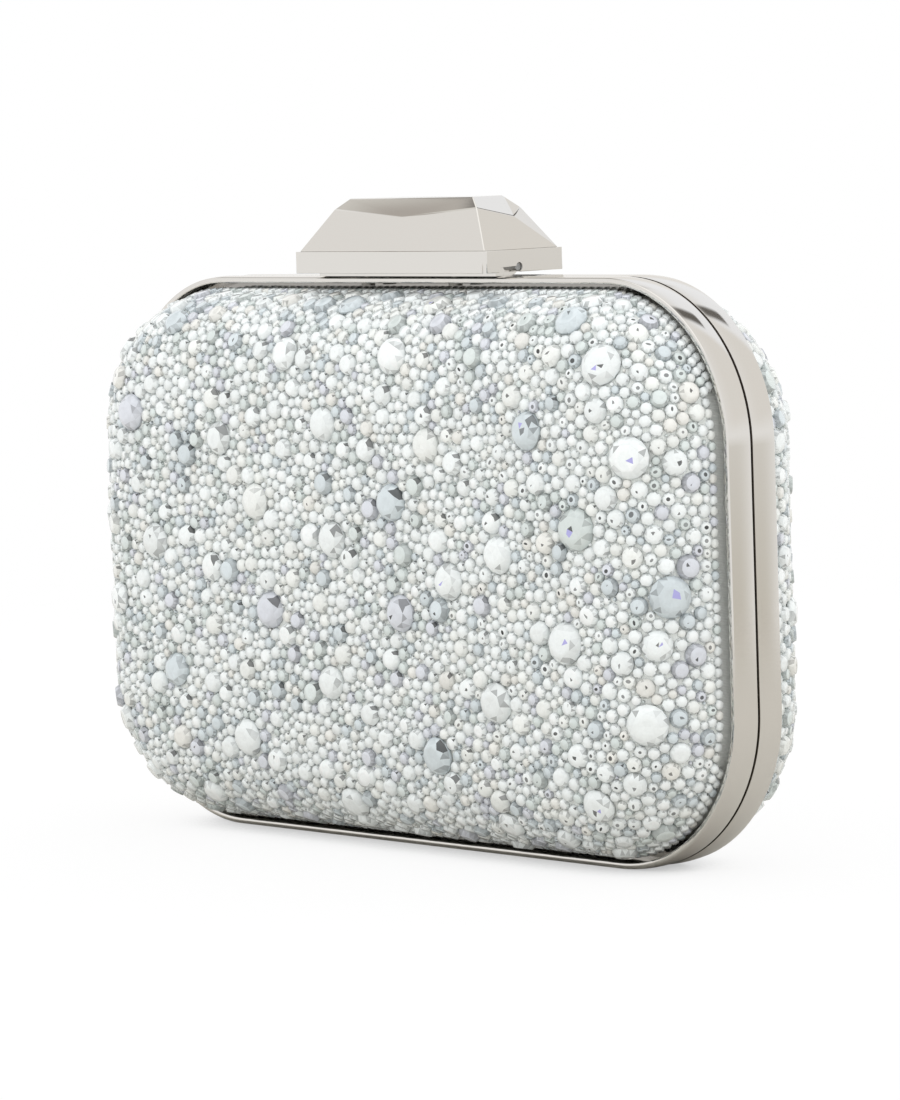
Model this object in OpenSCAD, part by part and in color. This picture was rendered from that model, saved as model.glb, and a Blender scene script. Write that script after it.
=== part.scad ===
// Crystal-covered box clutch: two metal frames hinged along the bottom, a padded dome in each,
// and a faceted lever clasp on top.
// X runs across the bag, Y from front to back, Z up. The two frames meet at y = 0, and the bag
// stands on z = 0. A half is drawn lying on its parting plane, then turned upright.

/* [Frame] */
// Width of the closed frame
frame_w = 165; // [150:1:190]
// Height of the frame
frame_h = 107.5; // [98:0.5:120]
// Corner radius of the frame's outline
corner_r = 30; // [27:0.5:34]
// Depth of each half's band, from the parting plane to its rim
band_d = 6.1; // [5.6:0.1:7]
// Wall of the band
lip_t = 1.3; // [1.1:0.1:1.6]
// Width of the flange behind the band's wall, measured from the outline
web_w = 6.5; // [6.4:0.1:8]
// Thickness of that flange
web_t = 1.4; // [1.35:0.05:1.8]
// Crown of the band's polished outside
band_crown = 0.2; // [0.1:0.05:0.3]
// Gap between the two closed halves
parting_gap = 0.2; // [0.1:0.05:0.4]
// Rounding of the band's outer edges
edge_r = 0.3; // [0.15:0.05:0.4]
// Depth of the flat that the bag stands on, cut into the crown
foot_flat = 0.1; // [0.05:0.05:0.1]

/* [Dome] */
// Height of the paved dome above the parting plane
dome_top = 22.5; // [21:0.5:27]
// Radius of the dome's rounded edge
dome_r = 15; // [12:0.5:15]
// Rise of the dome's face from its rounded edge to its middle
dome_crown = 1.1; // [0.6:0.1:1.6]
// Gap between the band's wall and the paving
lip_gap = 1.5; // [1.2:0.1:1.8]
// Thickness of the paving of small crystals
pave_t = 0.9; // [0.7:0.05:1.1]
// Thickness of the cloth that carries the crystals
fabric_t = 0.5; // [0.3:0.05:0.7]
// Wall of the moulded shell
shell_t = 1.6; // [1.4:0.1:1.7]
// Thickness of the lining
lining_t = 0.6; // [0.4:0.05:0.7]
// Distance from the parting plane to the paving's edge
pave_start = 5.2; // [4.6:0.1:6]

/* [Large crystals] */
// Radius of the largest crystals
crystal_r = 3.2; // [2.6:0.1:3.4]
// Height of the largest crystals above the cloth
crystal_h = 2.1; // [1.6:0.1:2.3]
// Clearance round each crystal in the paving
crystal_clear = 0.1; // [0.05:0.05:0.15]

/* [Hinge] */
// Length of the row of knuckles
hinge_l = 64; // [50:1:80]
// Number of knuckles, an odd number
knuckle_n = 5; // [3:2:7]
// Outer radius of a knuckle
knuckle_r = 1.2; // [1.1:0.05:1.25]
// Radius of the hinge pin
hinge_pin_r = 0.6; // [0.45:0.05:0.7]
// Running clearance of the pin in the rear knuckles
pin_clear = 0.05; // [0.03:0.01:0.08]
// End gap between knuckles
knuckle_gap = 0.2; // [0.1:0.05:0.3]
// Clearance of a knuckle in the other half's gutter
gutter_clear = 0.15; // [0.1:0.05:0.2]
// Height of the knuckles above the ground
knuckle_lift = 0.1; // [0.05:0.05:0.2]
// Angle that the rear half opens by, in degrees
open_angle = 75; // [45:5:85]

/* [Clasp] */
// Length of the clasp's base
clasp_l = 52.4; // [46:0.2:60]
// Depth of the clasp's base
clasp_d = 20.5; // [18:0.5:22]
// Height of the clasp's base
base_h = 4.1; // [3.9:0.1:5]
// Wall of the base
base_t = 1.2; // [1:0.1:1.5]
// Top plate of the base
roof_t = 1; // [0.8:0.1:1.1]
// Gap between the closed clasp and the frame
clasp_gap = 0.7; // [0.65:0.05:0.9]
// Ledge of the base round the faceted cap
cap_ledge = 0.8; // [0.6:0.1:1.5]
// Height of the faceted cap
cap_h = 9.8; // [8:0.2:12]
// Distance of the pivot in front of the parting plane
pivot_y = 1.4; // [1.2:0.1:1.6]
// Height of the pivot above the base's lower edge
pivot_rise = 0.95; // [0.9:0.05:1]
// Radius of the pivot hole in the base's ends
pivot_hole_r = 0.8; // [0.75:0.05:0.85]
// Running clearance of the pivot pin
pivot_clear = 0.08; // [0.04:0.01:0.1]
// Depth at which the pin's ends lie inside their holes
pin_recess = 0.4; // [0.2:0.1:0.8]
// Length of the assembly slot in front of the pivot hole
slot_l = 5.2; // [4:0.1:6]

/* [Hidden] */
$fn = 96;
// Overrun of every cut
over = 1;

// Steps of the band's crown, of the dome's rounded edge and of the dome's crown
crown_steps = 6;
turn_steps = 10;
rise_steps = 5;
// Angle at which the dome's rounded edge runs into its crowned face
dome_turn = 80;
// Chamfer of the band's inner rim
rim_chamfer = 0.2;

// The frame's outline, moved down by the flat that it stands on
span_x = frame_w - 2 * corner_r;
span_z = frame_h - 2 * corner_r;
centre_z = frame_h / 2 - foot_flat;
frame_top = frame_h - foot_flat;
band_lo = parting_gap / 2;
web_face = band_lo + web_t;
band_mid = (band_lo + band_d) / 2;
dome_foot = lip_t + lip_gap;
dome_axis = dome_top - dome_crown - dome_r * sin(dome_turn);
shell_in = pave_t + fabric_t;
lining_in = shell_in + shell_t;

// Places of the large crystals on a dome, as shares of the frame's width and height, and size
crystal_shares = [
    [0.39, 0.87, 0.85], [0.57, 0.87, 0.92], [0.83, 0.93, 0.85], [0.89, 0.86, 1.00],
    [0.93, 0.71, 1.00], [0.86, 0.59, 1.00], [0.79, 0.75, 0.92], [0.63, 0.72, 0.85],
    [0.46, 0.75, 0.85], [0.28, 0.72, 0.85], [0.12, 0.76, 0.92], [0.08, 0.87, 0.75],
    [0.18, 0.92, 0.75], [0.34, 0.61, 0.92], [0.57, 0.62, 0.92], [0.16, 0.53, 0.92],
    [0.47, 0.55, 0.92], [0.26, 0.49, 0.75], [0.74, 0.54, 0.92], [0.66, 0.49, 0.92],
    [0.36, 0.42, 0.92], [0.58, 0.43, 0.92], [0.84, 0.40, 1.00], [0.96, 0.48, 1.00],
    [0.08, 0.42, 0.85], [0.19, 0.30, 0.85], [0.46, 0.30, 0.85], [0.73, 0.29, 1.00],
    [0.94, 0.27, 1.00], [0.31, 0.19, 0.92], [0.63, 0.19, 0.92], [0.87, 0.13, 0.85],
    [0.47, 0.09, 0.85], [0.22, 0.08, 0.75], [0.08, 0.20, 0.75], [0.60, 0.95, 0.75],
    [0.46, 0.95, 0.75], [0.04, 0.57, 0.75], [0.95, 0.40, 0.75], [0.72, 0.08, 0.75]];
// Outline of a large crystal, as shares of its radius and its height
crystal_outline_shares = [[0, 0], [0.86, 0], [1, 0.3], [1, 0.4], [0.58, 1], [0, 1]];

// Knuckles and their gutter
hinge_z = knuckle_r + knuckle_lift;
knuckle_l = (hinge_l - (knuckle_n - 1) * knuckle_gap) / knuckle_n;
gutter_share = 0.9;
// Spare angle of the bevels that let the two lower edges pass each other
bevel_spare = 2;

// The clasp's base and pivot, measured from the ground
base_z = frame_top + clasp_gap;
roof_z = base_z + base_h - roof_t;
cap_z = base_z + base_h;
pivot_z = base_z + pivot_rise;
clasp_pin_r = pivot_hole_r - pivot_clear;
clasp_in_l = clasp_l - 2 * base_t;
clasp_in_d = clasp_d - 2 * base_t;
corner_bevel = 0.6;

// The faceted cap: its right-hand corners as shares of its half length, half depth and height
cap_half_l = clasp_l / 2 - cap_ledge;
cap_half_d = clasp_d / 2 - cap_ledge;
cap_corner_shares = [
    [1, -1, 0], [1, 1, 0], [0.768, -0.5765, 0.8], [0.664, -0.40, 1],
    [0.62, 0.52, 1], [0.8215, 0.29, 0.615], [0.762, 0.6275, 0.776]];
// Middle of the cap's front edge, where its two front facets dip
cap_dip_share = [0, -0.66, 0.642];

// Bracket that carries the pivot pin on the front frame
plate_t = 0.6;
plate_setback = 0.5;
plate_front = band_d - plate_setback;
pivot_to_plate = 1.5;
plate_back = pivot_y + pivot_to_plate;
ear_t = 1.2;
ear_clear = 0.1;
ear_r = pivot_rise + clasp_gap - ear_clear;
ear_inset = 0.8;
plate_l = clasp_in_l - 2 * ear_inset;
rivet_r = 0.7;
rivet_head_r = 1.3;
rivet_head_h = 0.5;
rivet_clear = 0.05;
bracket_rivet_x = 12;
bracket_rivet_y = (plate_front + plate_back) / 2;

// Return spring round the pivot pin
wire_r = 0.2;
coil_r = 1.15;
coil_turns = 7;
coil_pitch = 0.55;
coil_steps = 12;
wire_sides = 6;
coil_leg = 2.6;
leg_drop = 0.35;

// Hook under the base, and the catch on the rear frame
hook_w = 12;
hook_t = 0.9;
hook_y = 2.6;
hook_reach = 1.1;
hook_nose_h = 0.6;
hook_clear = 0.1;
hook_plate_t = 0.8;
hook_plate_d = 4.4;
hook_rivet_x = 4;
hook_rivet_r = 0.6;
hook_rivet_head_r = 1;
hook_rivet_head_h = 0.4;
notch_side = 1;
notch_w = hook_w + 2 * notch_side;
notch_y = 4;
notch_drop = 2.4;
tongue_t = 0.7;
tongue_low = 0.1;
catch_t = 0.6;
catch_wing = 5;
catch_l = notch_w + 2 * catch_wing;
catch_back = band_d - plate_setback;
catch_rivet_edge = 2.4;
catch_rivet_x = catch_l / 2 - catch_rivet_edge;
catch_rivet_flush = 0.1;
catch_seat = 0.1;

// Screws that hold the cap on the base
cap_screw_x = 12;
cap_screw_r = 0.9;
cap_screw_l = 5;
cap_screw_head_r = 1.6;
cap_screw_head_h = 0.8;

// Outline of a band: inset from the frame's outline, and height above the parting plane
function crown_at(z) = band_crown * pow((z - band_mid) / (band_mid - band_lo - edge_r), 2);
band_profile = concat(
    [for (a = [90:-30:30])
        [band_crown + edge_r * (1 - cos(a)), band_lo + edge_r * (1 - sin(a))]],
    [for (i = [0:crown_steps])
        let (z = band_lo + edge_r + (band_d - band_lo - 2 * edge_r) * i / crown_steps)
        [crown_at(z), z]],
    [for (a = [30:30:90])
        [band_crown + edge_r * (1 - cos(a)), band_d - edge_r * (1 - sin(a))]],
    [[lip_t - rim_chamfer, band_d], [lip_t, band_d - rim_chamfer], [lip_t, web_face],
        [web_w, web_face], [web_w, band_lo]]);

// A dome's outline t below the paving's face: a straight foot, the rounded edge, the crowned face
function edge_inset(t, a) = dome_foot + dome_r - (dome_r - t) * cos(a);
function edge_height(t, a) = dome_axis + (dome_r - t) * sin(a);
function face_height(t) = edge_height(t, dome_turn) + dome_crown;
function dome_curve(t, foot) = concat(
    [[dome_foot + t, foot]],
    [for (i = [0:turn_steps])
        let (a = dome_turn * i / turn_steps)
        [edge_inset(t, a), edge_height(t, a)]],
    [for (i = [1:rise_steps])
        let (s = 1 - i / rise_steps)
        [corner_r - s * (corner_r - edge_inset(t, dome_turn)),
            edge_height(t, dome_turn) + dome_crown * (1 - s * s)]]);
function reversed(points) = [for (i = [len(points) - 1:-1:0]) points[i]];
function from_corner(profile) = [for (p = profile) [corner_r - p[0], p[1]]];

// Seat of a crystal on the cloth: [x, y, height, azimuth, tilt]
function seat(share_x, share_y) =
    let (x = (share_x - 0.5) * frame_w,
        y = (share_y - 0.5) * frame_h,
        dx = max(abs(x) - span_x / 2, 0),
        dy = max(abs(y) - span_z / 2, 0),
        d = norm([dx, dy]),
        far = corner_r - edge_inset(pave_t, dome_turn),
        s = d / far,
        turn = acos(min(1, (dome_foot + dome_r - corner_r + d) / (dome_r - pave_t))),
        azimuth = atan2(sign(y) * dy, sign(x) * dx))
    d <= far
        ? [x, y, edge_height(pave_t, dome_turn) + dome_crown * (1 - s * s), azimuth,
            atan(2 * dome_crown * s / far)]
        : [x, y, edge_height(pave_t, turn), azimuth, 90 - turn];

module front_half() {
    translate([0, 0, centre_z])
        rotate([90, 0, 0])
            children();
}

module rear_half() {
    mirror([0, 1, 0])
        front_half()
            children();
}

// Sweeps an outline, given from the corner's centre outwards, round the whole frame
module swept(profile) {
    for (q = [0:3]) {
        span = q % 2 == 0 ? span_x : span_z;
        side_x = q == 0 || q == 3 ? 1 : -1;
        side_y = q < 2 ? 1 : -1;
        translate([side_x * span_x / 2, side_y * span_z / 2, 0])
            rotate([0, 0, 90 * q]) {
                rotate_extrude(angle = 90)
                    polygon(profile);
                translate([-span, 0, 0])
                    rotate([90, 0, 90])
                        linear_extrude(height = span)
                            polygon(profile);
            }
    }
}

// One layer of a dome, between two depths below the paving's face
module dome_layer(outer, inner, foot) {
    swept(from_corner(concat(dome_curve(outer, foot), reversed(dome_curve(inner, foot)))));
    translate([-span_x / 2, -span_z / 2, face_height(inner)])
        cube([span_x, span_z, face_height(outer) - face_height(inner)]);
}

module band() {
    swept(from_corner(band_profile));
}

module bar_x(r, from, length) {
    translate([from, 0, 0])
        rotate([0, 90, 0])
            cylinder(h = length, r = r);
}

module upright(r, height) {
    cylinder(h = height, r = r);
}

function knuckle_start(i) = -hinge_l / 2 + i * (knuckle_l + knuckle_gap);

// Room for knuckle i: exact for the half that carries it, wider for the other
module gutter(i, clear, spare) {
    r = knuckle_r + clear;
    from = knuckle_start(i) - spare;
    length = knuckle_l + 2 * spare;
    translate([0, 0, hinge_z])
        bar_x(r, from, length);
    translate([from, -gutter_share * r, -over])
        cube([length, 2 * gutter_share * r, hinge_z + over]);
}

// Bevels below the hinge's axis, on both halves
module lower_bevels() {
    drop = hinge_z + over;
    reach = drop * tan(open_angle / 2 + bevel_spare);
    translate([-frame_w, 0, hinge_z])
        rotate([90, 0, 90])
            linear_extrude(height = 2 * frame_w)
                polygon([[0, 0], [reach, -drop], [-reach, -drop]]);
}

module gutters(own) {
    for (i = [0:knuckle_n - 1]) {
        if (i % 2 == own) {
            gutter(i, 0, knuckle_gap / 2);
        } else {
            gutter(i, gutter_clear, knuckle_gap);
        }
    }
}

module below_ground() {
    translate([-frame_w, -frame_w, -frame_h])
        cube([2 * frame_w, 2 * frame_w, frame_h]);
}

module bracket_rivet_places() {
    for (side = [-1, 1]) {
        translate([side * bracket_rivet_x, -bracket_rivet_y, 0])
            children();
    }
}

module catch_rivet_places() {
    for (side = [-1, 1]) {
        translate([side * catch_rivet_x, (hook_y + catch_back) / 2, 0])
            children();
    }
}

module front_frame() {
    color("silver")
        difference() {
            front_half()
                band();
            below_ground();
            lower_bevels();
            gutters(0);
            bracket_rivet_places()
                translate([0, 0, frame_top - lip_t - over])
                    upright(rivet_r + rivet_clear, lip_t + 2 * over);
        }
}

module rear_frame() {
    color("silver")
        difference() {
            rear_half()
                band();
            below_ground();
            lower_bevels();
            gutters(1);
            translate([-notch_w / 2, -over, frame_top - notch_drop])
                cube([notch_w, notch_y + over, notch_drop + over]);
            catch_rivet_places()
                translate([0, 0, frame_top - lip_t - over])
                    upright(rivet_r + rivet_clear, lip_t + 2 * over);
        }
}

module front_shell() {
    color("dimgray")
        front_half()
            dome_layer(shell_in, lining_in, web_face);
}

module rear_shell() {
    color("dimgray")
        rear_half()
            dome_layer(shell_in, lining_in, web_face);
}

module front_lining() {
    color("lightslategray")
        front_half()
            dome_layer(lining_in, lining_in + lining_t, web_face);
}

module rear_lining() {
    color("lightslategray")
        rear_half()
            dome_layer(lining_in, lining_in + lining_t, web_face);
}

module front_fabric() {
    color("darkgray")
        front_half()
            dome_layer(pave_t, shell_in, web_face);
}

module rear_fabric() {
    color("darkgray")
        rear_half()
            dome_layer(pave_t, shell_in, web_face);
}

// The rear dome's crystals lie turned by half a turn against the front's
module crystal_places(turned) {
    for (place = crystal_shares) {
        share_x = turned ? 1 - place[0] : place[0];
        share_y = turned ? 1 - place[1] : place[1];
        spot = seat(share_x, share_y);
        $crystal_size = place[2];
        translate([spot[0], spot[1], spot[2]])
            rotate([0, 0, spot[3]])
                rotate([0, spot[4], 0])
                    children();
    }
}

module crystal() {
    r = crystal_r * $crystal_size;
    h = crystal_h * $crystal_size;
    rotate_extrude()
        polygon([for (p = crystal_outline_shares) [r * p[0], h * p[1]]]);
}

module crystal_seat() {
    translate([0, 0, -over])
        upright(crystal_r * $crystal_size + crystal_clear, crystal_h + 2 * over);
}

module pave(turned) {
    difference() {
        dome_layer(0, pave_t, pave_start);
        crystal_places(turned)
            crystal_seat();
    }
}

module front_pave() {
    color("whitesmoke")
        front_half()
            pave(false);
}

module rear_pave() {
    color("whitesmoke")
        rear_half()
            pave(true);
}

module front_large_crystals() {
    color("lightsteelblue")
        front_half()
            crystal_places(false)
                crystal();
}

module rear_large_crystals() {
    color("lightsteelblue")
        rear_half()
            crystal_places(true)
                crystal();
}

module knuckles(own, bore_r) {
    for (i = [own:2:knuckle_n - 1]) {
        translate([0, 0, hinge_z])
            difference() {
                bar_x(knuckle_r, knuckle_start(i), knuckle_l);
                bar_x(bore_r, knuckle_start(i) - over, knuckle_l + 2 * over);
            }
    }
}

module front_knuckles() {
    color("gainsboro")
        knuckles(0, hinge_pin_r);
}

module rear_knuckles() {
    color("gainsboro")
        knuckles(1, hinge_pin_r + pin_clear);
}

module hinge_pin() {
    color("gray")
        translate([0, 0, hinge_z])
            bar_x(hinge_pin_r, -hinge_l / 2, hinge_l);
}

module ear(from) {
    translate([from, -pivot_y, pivot_z])
        rotate([0, 90, 0])
            upright(ear_r, ear_t);
    translate([from, -plate_front, frame_top])
        cube([ear_t, plate_front - pivot_y, pivot_rise + clasp_gap]);
}

module clasp_bracket() {
    color("darkgray")
        difference() {
            union() {
                translate([-plate_l / 2, -plate_front, frame_top])
                    cube([plate_l, plate_front - plate_back, plate_t]);
                ear(-plate_l / 2);
                ear(plate_l / 2 - ear_t);
            }
            translate([0, -pivot_y, pivot_z])
                bar_x(clasp_pin_r, -clasp_l / 2, clasp_l);
            bracket_rivet_places()
                translate([0, 0, frame_top - over])
                    upright(rivet_r + rivet_clear, plate_t + 2 * over);
        }
}

module bracket_rivets() {
    color("silver")
        bracket_rivet_places() {
            translate([0, 0, frame_top - lip_t - rivet_head_h])
                upright(rivet_r, lip_t + plate_t + 2 * rivet_head_h);
            translate([0, 0, frame_top + plate_t])
                upright(rivet_head_r, rivet_head_h);
            translate([0, 0, frame_top - lip_t - rivet_head_h])
                upright(rivet_head_r, rivet_head_h);
        }
}

module clasp_pin() {
    color("gray")
        translate([0, -pivot_y, pivot_z])
            bar_x(clasp_pin_r, -clasp_l / 2 + pin_recess, clasp_l - 2 * pin_recess);
}

// The spring's centre line: a leg on the bracket's plate, the coil, and a leg under the roof
spring_half = coil_turns * coil_pitch / 2;
function coil_point(turn) = [
    -spring_half + coil_pitch * turn,
    -pivot_y - coil_r * cos(360 * turn),
    pivot_z + coil_r * sin(360 * turn)];
spring_path = concat(
    [[-spring_half, -plate_back - 2 * wire_r, frame_top + plate_t + wire_r]],
    [for (i = [0:coil_turns * coil_steps + coil_steps / 4])
        coil_point(i / coil_steps)],
    [coil_point(coil_turns + 1 / 4) + [0, -coil_leg, leg_drop]]);

function unit(v) = v / norm(v);
function heading(path, i) =
    unit(path[min(i + 1, len(path) - 1)] - path[max(i - 1, 0)]);
function ring(path, i) =
    let (t = heading(path, i), n = unit(cross(t, [1, 0, 0])), b = cross(t, n))
    [for (k = [0:wire_sides - 1])
        let (a = 360 * k / wire_sides)
        path[i] + wire_r * (cos(a) * n + sin(a) * b)];

module wire(path) {
    last = len(path) - 1;
    points = [for (i = [0:last]) each ring(path, i)];
    sides = [for (i = [0:last - 1]) for (k = [0:wire_sides - 1])
        let (a = i * wire_sides + k, b = i * wire_sides + (k + 1) % wire_sides)
        each [[a, b, b + wire_sides], [a, b + wire_sides, a + wire_sides]]];
    start = [for (k = [wire_sides - 1:-1:0]) k];
    end = [for (k = [0:wire_sides - 1]) last * wire_sides + k];
    polyhedron(points = points, faces = concat(sides, [start, end]));
}

module clasp_spring() {
    color("dimgray")
        wire(spring_path);
}

// The base's upright outline, with its corners bevelled
module base_outline() {
    x = clasp_l / 2;
    y = clasp_d / 2;
    polygon([[x - corner_bevel, -y], [x, -y + corner_bevel], [x, y - corner_bevel],
        [x - corner_bevel, y], [-x + corner_bevel, y], [-x, y - corner_bevel],
        [-x, -y + corner_bevel], [-x + corner_bevel, -y]]);
}

module cap_screw_places() {
    for (side = [-1, 1]) {
        translate([side * cap_screw_x, 0, 0])
            children();
    }
}

module hook_rivet_places() {
    for (side = [-1, 1]) {
        translate([side * hook_rivet_x, hook_y + (hook_plate_d + hook_t) / 2, 0])
            children();
    }
}

module clasp_housing() {
    color("gainsboro")
        difference() {
            translate([0, 0, base_z])
                linear_extrude(height = base_h)
                    base_outline();
            translate([-clasp_in_l / 2, -clasp_in_d / 2, base_z - over])
                cube([clasp_in_l, clasp_in_d, base_h - roof_t + over]);
            translate([0, -pivot_y, pivot_z])
                bar_x(pivot_hole_r, -clasp_l, 2 * clasp_l);
            for (side = [-1, 1]) {
                translate([side * clasp_l / 2 - base_t - over, -pivot_y - slot_l, base_z - over])
                    cube([2 * (base_t + over), slot_l, pivot_rise + over]);
            }
            cap_screw_places()
                translate([0, 0, roof_z - over])
                    upright(cap_screw_r, roof_t + 2 * over);
            hook_rivet_places()
                translate([0, 0, roof_z - over])
                    upright(hook_rivet_r, roof_t + 2 * over);
        }
}

// Right-hand corners 0 to 6, the same mirrored as 7 to 13, and the dip as 14
cap_size = [cap_half_l, cap_half_d, cap_h];
function cap_point(p, side) =
    [side * p[0] * cap_size[0], p[1] * cap_size[1], p[2] * cap_size[2]];
cap_points = concat(
    [for (p = cap_corner_shares) cap_point(p, 1)],
    [for (p = cap_corner_shares) cap_point(p, -1)],
    [cap_point(cap_dip_share, 1)]);
// Facets of the right-hand half, seen from outside turning clockwise
cap_side_faces = [[0, 14, 2], [14, 3, 2], [0, 2, 5], [0, 5, 1], [2, 3, 5], [3, 4, 5], [5, 4, 6],
    [5, 6, 1]];
cap_middle_faces = [[0, 7, 14], [14, 10, 3], [3, 10, 11, 4], [1, 6, 4, 11, 13, 8], [0, 1, 8, 7]];
function mirrored_corner(i) = i == 14 ? 14 : i + 7;
cap_faces = concat(
    cap_side_faces,
    [for (f = cap_side_faces) [for (i = reversed(f)) mirrored_corner(i)]],
    cap_middle_faces);

module clasp_cap() {
    color("gainsboro")
        translate([0, 0, cap_z])
            difference() {
                polyhedron(points = cap_points, faces = cap_faces);
                cap_screw_places()
                    translate([0, 0, -over])
                        upright(cap_screw_r, cap_screw_l - roof_t + over);
            }
}

module cap_screws() {
    color("dimgray")
        cap_screw_places() {
            translate([0, 0, roof_z - cap_screw_head_h])
                upright(cap_screw_head_r, cap_screw_head_h);
            translate([0, 0, roof_z - cap_screw_head_h])
                upright(cap_screw_r, cap_screw_head_h + cap_screw_l);
        }
}

module clasp_hook() {
    color("darkgray")
        difference() {
            union() {
                translate([-hook_w / 2, hook_y, roof_z - hook_plate_t])
                    cube([hook_w, hook_plate_d, hook_plate_t]);
                translate([-hook_w / 2, hook_y, frame_top + hook_clear])
                    cube([hook_w, hook_t, roof_z - frame_top - hook_clear]);
                translate([-hook_w / 2, hook_y - hook_reach, frame_top + hook_clear])
                    cube([hook_w, hook_reach + hook_t, hook_nose_h]);
            }
            hook_rivet_places()
                translate([0, 0, roof_z - hook_plate_t - over])
                    upright(hook_rivet_r, hook_plate_t + 2 * over);
        }
}

module hook_rivets() {
    color("silver")
        hook_rivet_places() {
            translate([0, 0, roof_z - hook_plate_t - hook_rivet_head_h])
                upright(hook_rivet_head_r, hook_rivet_head_h);
            translate([0, 0, roof_z - hook_plate_t - hook_rivet_head_h])
                upright(hook_rivet_r, hook_rivet_head_h + hook_plate_t + roof_t);
        }
}

module catch_plate() {
    plate_y = web_face + catch_seat;
    plate_z = frame_top - lip_t - catch_t;
    color("darkgray")
        difference() {
            union() {
                translate([-catch_l / 2, plate_y, plate_z])
                    cube([catch_l, catch_back - plate_y, catch_t]);
                translate([-hook_w / 2, plate_y, plate_z])
                    cube([hook_w, tongue_t, frame_top - tongue_low - plate_z]);
            }
            catch_rivet_places()
                translate([0, 0, plate_z - over])
                    upright(rivet_r + rivet_clear, catch_t + 2 * over);
        }
}

module catch_rivets() {
    plate_z = frame_top - lip_t - catch_t;
    color("silver")
        catch_rivet_places() {
            translate([0, 0, plate_z - rivet_head_h])
                upright(rivet_head_r, rivet_head_h);
            translate([0, 0, plate_z - rivet_head_h])
                upright(rivet_r, rivet_head_h + catch_t + lip_t - catch_rivet_flush);
        }
}

front_frame();
rear_frame();
front_shell();
rear_shell();
front_lining();
rear_lining();
front_fabric();
rear_fabric();
front_pave();
rear_pave();
front_large_crystals();
rear_large_crystals();
front_knuckles();
rear_knuckles();
hinge_pin();
clasp_bracket();
bracket_rivets();
clasp_pin();
clasp_spring();
clasp_housing();
clasp_cap();
cap_screws();
clasp_hook();
hook_rivets();
catch_plate();
catch_rivets();
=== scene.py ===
"""Looks of a crystal-covered box clutch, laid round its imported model.

Lengths are in millimetres while a mesh is built, and in metres once it is an object. X runs
across the bag, Y from its front to its back and Z up.
"""

from __future__ import annotations

import logging
import math
from collections.abc import Iterable
from dataclasses import dataclass, field
from enum import Enum

import bmesh
import bpy
import numpy as np
from mathutils import Matrix, Vector
from mathutils.kdtree import KDTree


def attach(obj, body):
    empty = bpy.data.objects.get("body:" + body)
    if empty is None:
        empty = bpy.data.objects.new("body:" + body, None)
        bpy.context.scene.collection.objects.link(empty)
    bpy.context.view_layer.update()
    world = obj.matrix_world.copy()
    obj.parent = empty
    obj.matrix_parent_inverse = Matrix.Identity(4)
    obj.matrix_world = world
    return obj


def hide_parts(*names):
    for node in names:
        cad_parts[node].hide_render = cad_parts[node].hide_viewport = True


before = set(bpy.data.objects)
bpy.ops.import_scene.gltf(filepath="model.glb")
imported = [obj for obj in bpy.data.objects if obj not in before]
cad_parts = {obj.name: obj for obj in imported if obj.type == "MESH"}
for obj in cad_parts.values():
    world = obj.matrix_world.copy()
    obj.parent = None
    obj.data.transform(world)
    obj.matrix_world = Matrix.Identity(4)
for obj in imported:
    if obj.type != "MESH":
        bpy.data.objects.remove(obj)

LOG = logging.getLogger("clutch")
MM = 0.001
TINY = 1e-9
TIGHT = 1e-4
WELD = 5e-3
# Face attribute of the stones: their tint and the painted facet reflections together
COLOUR_AND_REFLECTION_LAYER = "stone_tint_and_reflection"
# Face attribute of the bands that marks where painted shade darkens the plate
PAINTED_SHADE_LAYER = "painted_shade"
WHITE = (1.0, 1.0, 1.0, 1.0)


class Body(Enum):
    """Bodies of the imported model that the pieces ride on."""

    FRONT = "front_half"
    REAR = "rear_half"
    CLASP = "clasp"


class Slot(Enum):
    """Names of the model's material slots; the sheets list theirs, but nothing reads them."""

    NICKEL = "polished_nickel"
    LINING = "lining"
    CLOTH = "carrier_cloth"
    SMALL = "small_crystals"
    LARGE = "large_crystals"


def linear(colour: str) -> tuple[float, float, float]:
    """Turns an sRGB hex colour into linear light.

    Args:
        colour: Colour such as "#d8d4cc".

    Returns:
        Red, green and blue in linear light.
    """
    parts = [int(colour[i:i + 2], 16) / 255 for i in (1, 3, 5)]
    return tuple(c / 12.92 if c <= 0.04045 else ((c + 0.055) / 1.055) ** 2.4 for c in parts)


def add_node(
    tree: bpy.types.NodeTree, kind: str, settings: dict | None = None, links: dict | None = None
) -> bpy.types.Node:
    """Adds a node with its settings and the links into it.

    Args:
        tree: Node tree that takes the node.
        kind: Node type.
        settings: Values by the name or number of an input, or by the name of a property.
        links: Output sockets by the name or number of the input that they feed.

    Returns:
        The new node.
    """
    node = tree.nodes.new(kind)
    for key, value in (settings or {}).items():
        if isinstance(key, str) and key not in node.inputs:
            setattr(node, key, value)
        else:
            node.inputs[key].default_value = value
    for key, source in (links or {}).items():
        tree.links.new(source, node.inputs[key])
    return node


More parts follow.
